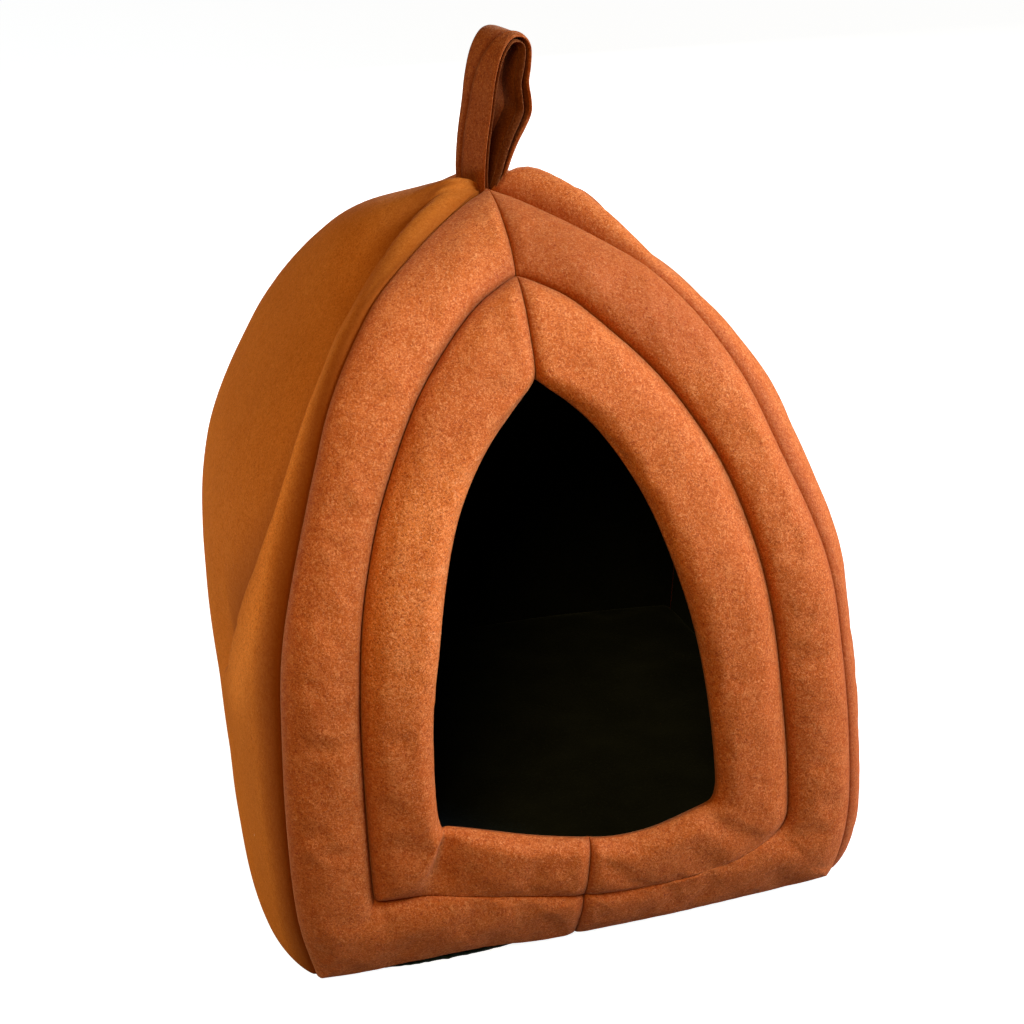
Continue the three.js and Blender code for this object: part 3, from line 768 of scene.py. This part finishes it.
def wall_panel(name, wall, finishes):
    from_seam = spaced(HALF_MOST, WALL_SPACING, False)
    side = 1 - from_seam / HALF_MOST
    near_front = side
    if wall is LEFT:
        fine = np.arange(CREASE_FINE_FROM, CREASE_NEAR, CREASE_SPACING)
        rest = np.linspace(CREASE_NEAR, HALF_MOST, int((HALF_MOST - CREASE_NEAR) / WALL_SPACING))
        near_front = 1 - np.concatenate([CLOSE_STEPS, fine, rest]) / HALF_MOST
    shares = np.concatenate([-side, near_front[::-1][1:]])
    between = int((TIP_LEVELS[0] - FOOT_LEVELS[-1]) / WALL_SPACING)
    middle = np.linspace(FOOT_LEVELS[-1], TIP_LEVELS[0], between + 1)[1:-1]
    share, z = np.meshgrid(shares, np.concatenate([FOOT_LEVELS, middle, TIP_LEVELS]))
    rise, layers = wall_padding(wall, share, z)
    gap = layers["seam"]
    outer = wall_point(wall, share, z, rise)
    slant = -SEAM_SLANT if wall is BACK else SEAM_SLANT
    inner = wall_point(wall, share, z, -SEAM_THICK, slant)
    sections = turned(np.concatenate([outer, inner[:, ::-1]], axis=1), wall["turn"])
    near_foot = smoothstep(z, *WALL_FREE_FOOT)
    near_tip = 1 - smoothstep(z, *WALL_FREE_TIP)
    layers["free"] = smoothstep(gap, *WALL_FREE) * near_foot * near_tip
    hidden = np.concatenate([np.zeros(gap.shape, bool), np.ones(gap.shape, bool)], axis=1)
    return loft_piece(name, sections, layers, [hidden], finishes)


# Closed outline along the foot of the walls
def foot_outline(rise, inset, z, spacing):
    count = int(2 * wall_half(0) / spacing)
    shares = -1 + 2 * (np.arange(count) + 1) / count
    walls = (FRONT, RIGHT, BACK, LEFT)
    points = np.concatenate([turned(wall_point(wall, shares, 0, rise), wall["turn"]) for wall in walls])
    reach = np.hypot(points[:, 0], points[:, 1])[:, None]
    points[:, :2] *= 1 - inset / reach
    points[:, 2] = z
    return points


# Stacks closed outlines, and closes the last and the first with a fan of quads
def stacked(outlines, last_z, first_z):
    count = len(outlines[0])
    here = np.arange(count)
    after = (here + 1) % count
    quads = []
    for r in range(len(outlines) - 1):
        low = r * count
        quads.append(np.stack([low + here, low + after, low + count + after, low + count + here], axis=1))
    end = (len(outlines) - 1) * count
    half = here[::2]
    for start, middle, way in ((end, end + count, 1), (0, end + count + 1, -1)):
        centre = np.full(len(half), middle)
        fan = np.stack([start + half, start + half + 1, start + (half + 2) % count, centre], axis=1)
        quads.append(fan[:, ::way])
    return np.concatenate(outlines + [[[0, 0, last_z], [0, 0, first_z]]]), np.concatenate(quads)


def floor_pad(finish):
    rows = []
    for scale, inset, z in PAD_ROWS:
        rows.append(foot_outline(-SEAM_THICK, PAD_GAP + inset, z, PAD_SPACING) * [[scale, scale, 1]])
    rim = rows[-1]
    for share in PAD_SHARES:
        row = rim * [[share, share, 1]]
        row[:, 2] = PAD_EDGE_Z + PAD_CROWN * math.sqrt(1 - share * share)
        rows.append(row)
    points, quads = stacked(rows, PAD_EDGE_Z + PAD_CROWN, FOOT)
    reach = np.hypot(points[:, 0], points[:, 1])
    free = smoothstep(points[:, 2], PAD_EDGE_Z, PAD_EDGE_Z + PAD_FREE)
    return make_piece("floor_pad_cover", points, quads, {"free": free * (reach > 0)}, [], [finish])


def base_sheet(finish):
    foot = foot_outline(0, CLOTH_INSET, 0.0, CLOTH_SPACING)
    at_front = (foot[:, 1] < 0) & (np.abs(foot[:, 0]) < -foot[:, 1])
    lift = np.where(at_front, turn_up(foot[:, 0]), 0)
    # The cut edge is a little frayed where it turns up
    chance = np.random.default_rng(FRAY_SEED)
    fray = chance.normal(0, FRAY, len(foot)) * (lift > FRAY_FROM)
    rim = foot.copy()
    rim[:, 1] -= RIM_OUT * np.sqrt(lift / TURN_UP) + np.abs(fray)
    rim[:, 2] = CLOTH_THICK + np.clip(lift - RIM_LESS + fray, 0, RIM_MOST)
    side = foot.copy()
    side[:, 1] -= SIDE_OUT * RIM_OUT * np.sqrt(lift / TURN_UP) + SIDE_FRAY * np.abs(fray)
    side[:, 2] = SIDE_Z
    bottom = foot_outline(0, BOTTOM_INSET, 0.0, CLOTH_SPACING)
    inside = foot_outline(0, CLOTH_INSET + CLOTH_THICK, CLOTH_THICK, CLOTH_SPACING)
    rows = [bottom * HALFWAY, bottom, side, rim, inside, inside * HALFWAY]
    points, quads = stacked(rows, CLOTH_THICK, 0)
    return make_piece("base_sheet", points, quads, {}, [], [finish])


# Section of the folded strip: across its width, and outward from the middle of its thickness.
# It is one layer folded over, so the slit reaches nearly to the far fold.
def strip_section(thickness, slit, fold_at):
    edge = LOOP_WIDTH / 2
    face = thickness / 2
    shoulder = face * LOOP_SHOULDER
    nearly = edge - LOOP_ROUND / 4
    flat = edge - LOOP_ROUND
    fold = fold_at - edge
    fold_points = [(fold + a * LOOP_FOLD_HALF, face + b) for a, b in LOOP_FOLD_PROFILE]
    chain = [
        (-edge, LOOP_EDGE_THICK * face), (-nearly, shoulder), (-flat, face), ((fold - flat) / 2, face),
        *fold_points, ((fold + flat) / 2, face + LOOP_FOLD_AFTER), ((fold + 3 * flat) / 4, face),
        (flat, face), (nearly, shoulder), (edge, slit + LOOP_LAYER_EDGE),
    ]
    outside = len(chain)
    chain += [(edge - LOOP_SLIT_IN, slit + LOOP_SLIT_OPEN)]
    chain += [(edge - deep, LOOP_SLIT_END) for deep in LOOP_SLIT_DEPTHS]
    section = np.array(chain + [(a, -b) for a, b in chain[::-1]])
    crush_and_shade = np.full(len(section), NO_SEAM)
    crush_and_shade[:outside] = LOOP_FOLD_SHADE * np.abs(section[:outside, 0] - fold)
    under = np.arange(len(section)) >= outside
    under[-3:] = False
    return section, crush_and_shade, under


def loop_strip(roof, finishes):
    fine = refine(LOOP_ROWS, LOOP_PER_ROW)
    travelled = np.concatenate([[0], np.cumsum(np.hypot(np.diff(fine[:, 0]), np.diff(fine[:, 1])))])
    places = np.linspace(0, travelled[-1], int(travelled[-1] / LOOP_SPACING))
    rows = np.stack([np.interp(places, travelled, fine[:, k]) for k in range(fine.shape[1])], axis=1)
    along = np.array([math.cos(LOOP_TURN), math.sin(LOOP_TURN), 0])
    across = np.array([-along[1], along[0], 0])
    up = np.array([0, 0, 1.0])
    sections = []
    crush_and_shade = []
    under = []
    for i, (w, z, thickness, slit) in enumerate(rows):
        before = rows[max(i - 2, 0)]
        after = rows[min(i + 2, len(rows) - 1)]
        course = np.array([after[0] - before[0], after[1] - before[1]])
        course /= np.linalg.norm(course)
        outward = up * course[0] - across * course[1]
        middle = np.array(LOOP_CORNER) + along * LOOP_WIDTH / 2 + across * w + up * z
        fold_at = column_at(LOOP_FOLD_ROWS, 1, places[i] / places[-1])
        section, pressed, below = strip_section(thickness, slit, fold_at)
        sections.append([middle + along * a + outward * b for a, b in section])
        crush_and_shade.append(pressed)
        under.append(below)
    sections = np.array(sections)
    # The ends stand on the roof
    for chain in (sections, sections[::-1]):
        for place in range(chain.shape[1]):
            for i in range(chain.shape[0] // 2):
                x, y, z = chain[i, place]
                hit = roof.ray_cast(Vector((x * MM, y * MM, ABOVE_ALL)), Vector((0, 0, -1)))[0]
                ground = hit.z / MM + SEAT_GAP if hit else 0
                if z < ground:
                    chain[i, place, 2] = ground + SEAT_STEP * i
                else:
                    break
    points, quads = loft(sections)
    piece = make_piece("loop_strip", points, quads, {"seam": np.array(crush_and_shade)}, [np.array(under)], finishes)
    return piece, travelled[-1]


# Smooth random waves: a sum of plane waves with seeded directions
def ripple(points, wavelength, seed):
    chance = np.random.default_rng(seed)
    total = np.zeros(len(points))
    for _ in range(WAVE_COUNT):
        direction = chance.normal(size=3)
        direction /= np.linalg.norm(direction)
        length = wavelength * chance.uniform(*WAVE_SPREAD)
        phase = chance.uniform(0, 2 * math.pi)
        total += np.sin(points @ direction * (2 * math.pi / length) + phase)
    return total / math.sqrt(WAVE_COUNT / 2)


# Swells the padded pieces with the cloth simulation, their seams and inner faces held; caps in mm
def puff(pieces, caps):
    scene = bpy.context.scene
    rest = {}
    for piece in pieces:
        rest[piece.name] = vectors(piece.data.vertices)
        free = free_of(piece)
        held = piece.vertex_groups.new(name="held")
        for level in range(1, HOLD_LEVELS + 1):
            chosen = np.nonzero(np.round((1 - free) * HOLD_LEVELS) == level)[0]
            if len(chosen):
                held.add(chosen.tolist(), level / HOLD_LEVELS, "REPLACE")
        cloth = piece.modifiers.new("swell", "CLOTH")
        settings = cloth.settings
        settings.quality = 5
        settings.mass = 0.3
        settings.tension_stiffness = 12
        settings.compression_stiffness = 12
        settings.shear_stiffness = 4
        settings.bending_stiffness = 0.8
        settings.use_pressure = True
        settings.uniform_pressure_force = 4
        settings.vertex_group_mass = "held"
        settings.pin_stiffness = 1
        settings.shrink_min = -0.012
        settings.effector_weights.gravity = 0
        cloth.point_cache.frame_start = 1
        cloth.point_cache.frame_end = SWELL_FRAMES
    for number in range(1, SWELL_FRAMES + 1):
        scene.frame_set(number)
    graph = bpy.context.evaluated_depsgraph_get()
    for piece, cap in zip(pieces, caps):
        cap = cap * MM
        shape = piece.evaluated_get(graph).to_mesh()
        moved = vectors(shape.vertices) - rest[piece.name]
        piece.evaluated_get(graph).to_mesh_clear()
        size = np.linalg.norm(moved, axis=1)
        free = free_of(piece)
        keep = free * cap / (cap + size)
        piece.modifiers.remove(piece.modifiers["swell"])
        piece.vertex_groups.remove(piece.vertex_groups["held"])
        set_points(piece, rest[piece.name] + moved * keep[:, None])
    scene.frame_set(1)


def subdivide(piece):
    bpy.ops.object.select_all(action="DESELECT")
    piece.select_set(True)
    bpy.context.view_layer.objects.active = piece
    finer = piece.modifiers.new("finer", "SUBSURF")
    finer.levels = 1
    finer.render_levels = 1
    finer.use_limit_surface = False
    bpy.ops.object.modifier_apply(modifier="finer")


# Subdivides once, then adds the soft unevenness of stuffed fleece
def soften(piece, waves, seed):
    subdivide(piece)
    points = vectors(piece.data.vertices)
    free = free_of(piece)
    lift = np.zeros(len(points))
    for k, (wavelength, height) in enumerate(waves):
        lift += height * ripple(points / MM, wavelength, seed + k)
    normals = vectors(piece.data.vertex_normals, "vector")
    set_points(piece, points + normals * (lift * free * MM)[:, None])


# Linear colours: deep in the nap, middle, tips; the lighter second sets are painted light, used where the
# ridge layer is 1
RUST = ((0.45, 0.062, 0.005), (0.57, 0.102, 0.0125), (0.76, 0.225, 0.075))
RUST_PAINTED_LIGHT = ((0.56, 0.087, 0.008), (0.71, 0.142, 0.019), (0.92, 0.30, 0.11))
# The side colours are the rust tinted yellower, painted shade for the walls at the side and back
SIDE_RUST_PAINTED_SHADE = ((0.43, 0.088, 0.008), (0.545, 0.12, 0.0125), (0.69, 0.19, 0.034))
SIDE_PAINTED_LIGHT = ((0.62, 0.13, 0.015), (0.80, 0.195, 0.028), (0.92, 0.28, 0.06))
# The loop's colours are the rust darkened, painted shade
LOOP_RUST_PAINTED_SHADE = ((0.23, 0.033, 0.0035), (0.305, 0.052, 0.007), (0.46, 0.12, 0.037))
# The loop's underside colours are darker still, painted shade
LOOP_UNDER_PAINTED_SHADE = ((0.09, 0.016, 0.003), (0.13, 0.025, 0.005), (0.24, 0.06, 0.018))
DARKEST_SHARES = (0.7, 0.5, 0.5)
CRUSH_AND_SHADE_SHARE = 0.7
LINT = (0.9, 0.75, 0.62)
LINT_SHARE = 0.8
SHEEN_TINT = (1.0, 0.6, 0.32, 1)
# Dark cloths: base and thread colour, and how much brighter a few threads are. The near-black inside is
# painted shade
INSIDE_PAINTED_SHADE = ((0.006,) * 3, (0.010,) * 3)
BASE_CLOTH = ((0.008, 0.013, 0.009), (0.020, 0.032, 0.022))
THREAD_BRIGHTER = 2.2
NOISE_STEP = (1.7, 0.9, 2.3)
NODE_STEP = (200, 300)
NODES_A_ROW = 8


def set_sockets(made, sockets):
    for key, value in sockets.items():
        made.inputs[key].default_value = value


# Adds a node, placed in rows in the order of making
def node(tree, kind, sockets=None, **values):
    made = tree.nodes.new(kind)
    row, place = divmod(len(tree.nodes) - 1, NODES_A_ROW)
    made.location = (NODE_STEP[0] * place, -NODE_STEP[1] * row)
    for key, value in values.items():
        setattr(made, key, value)
    set_sockets(made, sockets or {})
    return made


def new_material(name):
    made = bpy.data.materials.new(name)
    made.use_nodes = True
    tree = made.node_tree
    tree.nodes.clear()
    shader = node(tree, "ShaderNodeBsdfPrincipled")
    result = node(tree, "ShaderNodeOutputMaterial")
    tree.links.new(shader.outputs["BSDF"], result.inputs["Surface"])
    return made, tree, shader


def noise_layer(tree, place, scale, detail, rough, seed, curl=0.0):
    shifted = node(tree, "ShaderNodeMapping", {"Location": [seed * step for step in NOISE_STEP]})
    tree.links.new(place, shifted.inputs["Vector"])
    sockets = {"Scale": scale, "Detail": detail, "Roughness": rough, "Distortion": curl}
    made = node(tree, "ShaderNodeTexNoise", sockets)
    tree.links.new(shifted.outputs["Vector"], made.inputs["Vector"])
    return made.outputs["Fac"]


def ramp(tree, source, low, high, low_value=0.0, high_value=1.0):
    sockets = {"From Min": low, "From Max": high, "To Min": low_value, "To Max": high_value}
    made = node(tree, "ShaderNodeMapRange", sockets)
    tree.links.new(source, made.inputs["Value"])
    return made.outputs["Result"]


def blend(tree, share, first, second):
    made = node(tree, "ShaderNodeMix", data_type="RGBA")
    tree.links.new(share, made.inputs["Factor"])
    for socket, value in (("A", first), ("B", second)):
        target = [s for s in made.inputs if s.name == socket and s.type == "RGBA"][0]
        if isinstance(value, tuple):
            target.default_value = (*value, 1)
        else:
            tree.links.new(value, target)
    return [s for s in made.outputs if s.type == "RGBA"][0]


def calculate(tree, operation, first, second):
    made = node(tree, "ShaderNodeMath", operation=operation)
    for k, value in enumerate((first, second)):
        if isinstance(value, float):
            made.inputs[k].default_value = value
        else:
            tree.links.new(value, made.inputs[k])
    return made.outputs[0]


def layer_value(tree, key):
    return node(tree, "ShaderNodeAttribute", attribute_name=key).outputs["Fac"]


def add_bump(tree, shader, height, strength, distance):
    bump = node(tree, "ShaderNodeBump", {"Strength": strength, "Distance": distance})
    tree.links.new(height, bump.inputs["Height"])
    tree.links.new(bump.outputs["Normal"], shader.inputs["Normal"])


# The last argument: lighter colours as painted light, which take over where the ridge layer is 1
def fleece(name, colours, seam_shade, fuzz=1.0, sheen=0.08, gloss=0.2, painted_lighter=None):
    made, tree, shader = new_material(name)
    deep, middle, light = colours
    darkest = tuple(share * value for share, value in zip(DARKEST_SHARES, deep))
    if painted_lighter:
        painted_light_share = layer_value(tree, "ridge")
        deep, middle, light = (blend(tree, painted_light_share, own, other) for own, other in zip(colours, painted_lighter))
    place = node(tree, "ShaderNodeTexCoord").outputs["Object"]
    # Scale, detail, roughness, seed and curl; the strands are short curled fibres
    broad = noise_layer(tree, place, 22, 3, 0.55, 1)
    clumps = noise_layer(tree, place, 95, 4, 0.62, 2)
    nap = noise_layer(tree, place, 330, 3, 0.65, 3, 0.5)
    fibre = noise_layer(tree, place, 1050, 2, 0.7, 4, 0.8)
    strands = noise_layer(tree, place, 520, 2, 0.6, 5, 2.2)
    colour = blend(tree, ramp(tree, broad, 0.6, 0.3, 0.0, 0.3), middle, deep)
    for noise, none_at, full_at, share, other in (
        (clumps, 0.5, 0.75, 0.3, light),
        (nap, 0.54, 0.3, 0.9, deep),
        (strands, 0.5, 0.7, 0.85, light),
        (fibre, 0.5, 0.3, 0.95, darkest),
        (fibre, 0.58, 0.74, 0.7, light),
    ):
        colour = blend(tree, ramp(tree, noise, none_at, full_at, 0.0, share * fuzz), colour, other)
    # Darker towards seams, for flattened nap and painted shade in the grooves; the seam layer also carries
    # painted shade on the left wall and the outer right ring
    crush_and_shade = ramp(tree, layer_value(tree, "seam"), SEAM_CLEAR, 0.0, 0.0, seam_shade)
    colour = blend(tree, crush_and_shade, colour, tuple(CRUSH_AND_SHADE_SHARE * value for value in darkest))
    # A few lint specks
    specks = node(tree, "ShaderNodeTexVoronoi", {"Scale": 42, "Randomness": 1})
    tree.links.new(place, specks.inputs["Vector"])
    rare = calculate(tree, "GREATER_THAN", noise_layer(tree, place, 60, 0, 0.5, 8), 0.66)
    dot = ramp(tree, specks.outputs["Distance"], 0.035, 0.015)
    lint = calculate(tree, "MULTIPLY", calculate(tree, "MULTIPLY", dot, rare), LINT_SHARE)
    colour = blend(tree, lint, colour, LINT)
    tree.links.new(colour, shader.inputs["Base Color"])
    set_sockets(shader, {"Specular IOR Level": gloss, "Sheen Weight": sheen, "Sheen Roughness": 0.5,
                         "Sheen Tint": SHEEN_TINT})
    tree.links.new(ramp(tree, nap, 0.3, 0.7, 0.86, 0.7), shader.inputs["Roughness"])
    height = calculate(tree, "ADD", calculate(tree, "MULTIPLY", nap, 0.9),
                       calculate(tree, "MULTIPLY", strands, 0.5))
    height = calculate(tree, "ADD", height, calculate(tree, "MULTIPLY", clumps, 1.1))
    add_bump(tree, shader, height, strength=0.48 * fuzz, distance=0.0011)
    return made


def dark_cloth(name, colours):
    made, tree, shader = new_material(name)
    base, thread = colours
    place = node(tree, "ShaderNodeTexCoord").outputs["Object"]
    patches = noise_layer(tree, place, 40, 4, 0.6, 11)
    grain = noise_layer(tree, place, 700, 3, 0.7, 12)
    colour = blend(tree, ramp(tree, patches, 0.35, 0.65), base, thread)
    brighter = tuple(THREAD_BRIGHTER * value for value in thread)
    colour = blend(tree, ramp(tree, grain, 0.55, 0.75, 0.0, 0.6), colour, brighter)
    tree.links.new(colour, shader.inputs["Base Color"])
    set_sockets(shader, {"Specular IOR Level": 0.1, "Sheen Weight": 0.05})
    tree.links.new(ramp(tree, grain, 0.3, 0.7, 1.0, 0.85), shader.inputs["Roughness"])
    add_bump(tree, shader, grain, strength=0.5, distance=0.0006)
    return made


# Camera at the photograph's viewing angle
CAMERA_AT = (-0.17523, -0.91526, 0.68021)
CAMERA_TURN = math.radians(-11.202)
CAMERA_LIFT = math.radians(28.427)
CAMERA_ROLL = math.radians(-3.766)
CAMERA_LENS = 68.06

# Lights: name, place, target, size, power, colour and spread in degrees
LIGHTS = [
    # Daylight from the upper right, warm room light from the left, three weak lights
    ("key_light", (0.784, -0.549, 0.953), (0, 0, 0.55), (0.45, 0.45), 6.4, (0.47, 0.76, 0.97), 80),
    ("warm_light", (-0.302, -0.831, 1.034), (0, 0, 0.15), (0.45, 0.45), 6.2, (1.0, 0.84, 0.27), 180),
    ("right_light", (1.21, -0.257, 0.3), (0, 0, 0.18), (0.6, 0.3), 2.7, (1.0, 0.95, 0.9), 90),
    ("back_light", (0.25, 1.4, 0.55), (0, 0, 0.18), (0.7, 0.5), 9, (1.0, 0.93, 0.85), 180),
    ("left_light", (-0.756, 0.253, 0.12), (0, 0, 0.13), (0.4, 0.2), 3.3, (0.86, 1.0, 0.75), 180),
]
FLOOR_SIZE = 60
FLOOR_LIT = (0.3,) * 3
FLOOR_SEEN = (0.6,) * 3
FLOOR_GLOW = 0.95
ROOM_LIGHT = 0.03


def add_camera():
    a = CAMERA_TURN
    e = CAMERA_LIFT
    back = Vector((math.sin(a) * math.cos(e), -math.cos(a) * math.cos(e), math.sin(e)))
    right = Vector((math.cos(a), math.sin(a), 0))
    up = back.cross(right)
    r = CAMERA_ROLL
    x_axis = right * math.cos(r) + up * math.sin(r)
    y_axis = up * math.cos(r) - right * math.sin(r)
    pose = Matrix((x_axis, y_axis, back)).transposed().to_4x4()
    pose.translation = Vector(CAMERA_AT)
    bpy.ops.object.camera_add()
    camera = bpy.context.object
    camera.name = "photo_camera"
    camera.data.lens = CAMERA_LENS
    camera.data.sensor_width = 36
    camera.data.sensor_fit = "HORIZONTAL"
    camera.matrix_world = pose
    bpy.context.scene.camera = camera


def add_light(name, place, target, size, power, colour, spread):
    bpy.ops.object.light_add(type="AREA")
    lamp = bpy.context.object
    lamp.name = name
    lamp.data.shape = "ELLIPSE"
    lamp.data.size = size[0]
    lamp.data.size_y = size[1]
    lamp.data.energy = power
    lamp.data.color = colour
    lamp.data.spread = math.radians(spread)
    aim = Vector(target) - Vector(place)
    lamp.matrix_world = Matrix.Translation(place) @ aim.to_track_quat("-Z", "Y").to_matrix().to_4x4()


# The floor looks pale, and throws little light back on the bed
def pale_floor():
    made, tree, shader = new_material("pale_floor")
    seen = node(tree, "ShaderNodeLightPath").outputs["Is Camera Ray"]
    tree.links.new(blend(tree, seen, FLOOR_LIT, FLOOR_SEEN), shader.inputs["Base Color"])
    set_sockets(shader, {"Roughness": 0.9, "Specular IOR Level": 0.1, "Emission Color": (1, 1, 1, 1)})
    tree.links.new(calculate(tree, "MULTIPLY", seen, FLOOR_GLOW), shader.inputs["Emission Strength"])
    return made


def add_studio():
    for light in LIGHTS:
        add_light(*light)
    bpy.ops.mesh.primitive_plane_add(size=FLOOR_SIZE, location=(0, 0, 0))
    floor = bpy.context.object
    floor.name = "studio_floor"
    floor.data.materials.append(pale_floor())
    # The room is white to the camera, and throws little light
    world = bpy.data.worlds.new("soft_room")
    world.use_nodes = True
    tree = world.node_tree
    sky = tree.nodes["Background"]
    sky.inputs["Color"].default_value = (1, 1, 1, 1)
    seen = node(tree, "ShaderNodeLightPath").outputs["Is Camera Ray"]
    tree.links.new(ramp(tree, seen, 0, 1, ROOM_LIGHT, 1.0), sky.inputs["Strength"])
    bpy.context.scene.world = world
    bpy.context.scene.view_settings.view_transform = "Standard"
    bpy.context.scene.view_settings.look = "None"


add_camera()
add_studio()

rust = fleece("rust_fleece", RUST, seam_shade=0.45, painted_lighter=RUST_PAINTED_LIGHT)
side_rust_painted_shade = fleece("rust_fleece_side_painted_shade", SIDE_RUST_PAINTED_SHADE, seam_shade=0.85, fuzz=0.7, sheen=0.02, gloss=0.02,
                   painted_lighter=SIDE_PAINTED_LIGHT)
loop_rust_painted_shade = fleece("rust_fleece_loop_painted_shade", LOOP_RUST_PAINTED_SHADE, seam_shade=0.75, sheen=0.04, gloss=0.1)
loop_under_painted_shade = fleece("rust_fleece_under_painted_shade", LOOP_UNDER_PAINTED_SHADE, seam_shade=0.3, fuzz=0.8, sheen=0.0, gloss=0.05)
inside_painted_shade = dark_cloth("dark_inside_painted_shade", INSIDE_PAINTED_SHADE)
base_cloth = dark_cloth("dark_base_cloth", BASE_CLOTH)

rings = [
    ring_half("outer_left_half", LEFT_ROWS, -1, False, [rust, inside_painted_shade]),
    ring_half("outer_right_half", RIGHT_ROWS, 1, False, [rust, inside_painted_shade]),
    ring_half("inner_left_half", LEFT_ROWS, -1, True, [rust, inside_painted_shade]),
    ring_half("inner_right_half", RIGHT_ROWS, 1, True, [rust, inside_painted_shade]),
]
walls = [
    wall_panel("right_wall_cover", RIGHT, [rust, inside_painted_shade]),
    wall_panel("back_wall_cover", BACK, [side_rust_painted_shade, inside_painted_shade]),
    wall_panel("left_wall_cover", LEFT, [side_rust_painted_shade, inside_painted_shade]),
]
# The pad takes the near-black inside, painted shade
pad = floor_pad(inside_painted_shade)
for piece in rings + walls:
    points = vectors(piece.data.vertices)
    set_points(piece, points + seam_push(points / MM) * MM)
puff(rings + walls + [pad], [RING_CAP] * len(rings) + WALL_CAPS + [PAD_CAP])
for number, piece in enumerate(rings):
    soften(piece, RING_WAVES, RING_SEED + SEED_STEP * number)
for number, piece in enumerate(walls):
    soften(piece, WALL_WAVES, WALL_SEED + SEED_STEP * number)
soften(pad, PAD_WAVES, PAD_SEED)
sheet = base_sheet(base_cloth)

roof_points = []
roof_faces = []
for piece in rings[:2] + walls:
    offset = len(roof_points)
    roof_points.extend(vertex.co.copy() for vertex in piece.data.vertices)
    roof_faces.extend([offset + k for k in face.vertices] for face in piece.data.polygons)
loop, loop_length = loop_strip(BVHTree.FromPolygons(roof_points, roof_faces), [loop_rust_painted_shade, loop_under_painted_shade])
subdivide(loop)

STANDS_FOR = {
    "outer_left_half": "front_ring_outer_left",
    "outer_right_half": "front_ring_outer_right",
    "inner_left_half": "front_ring_inner_left",
    "inner_right_half": "front_ring_inner_right",
    "right_wall_cover": "side_right",
    "back_wall_cover": "back_panel",
    "left_wall_cover": "side_left",
    "floor_pad_cover": "floor_panel",
    "base_sheet": "base_cloth",
    "loop_strip": "carry_loop",
}
for piece in rings + walls + [pad, sheet, loop]:
    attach(piece, "root")
    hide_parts(STANDS_FOR[piece.name])
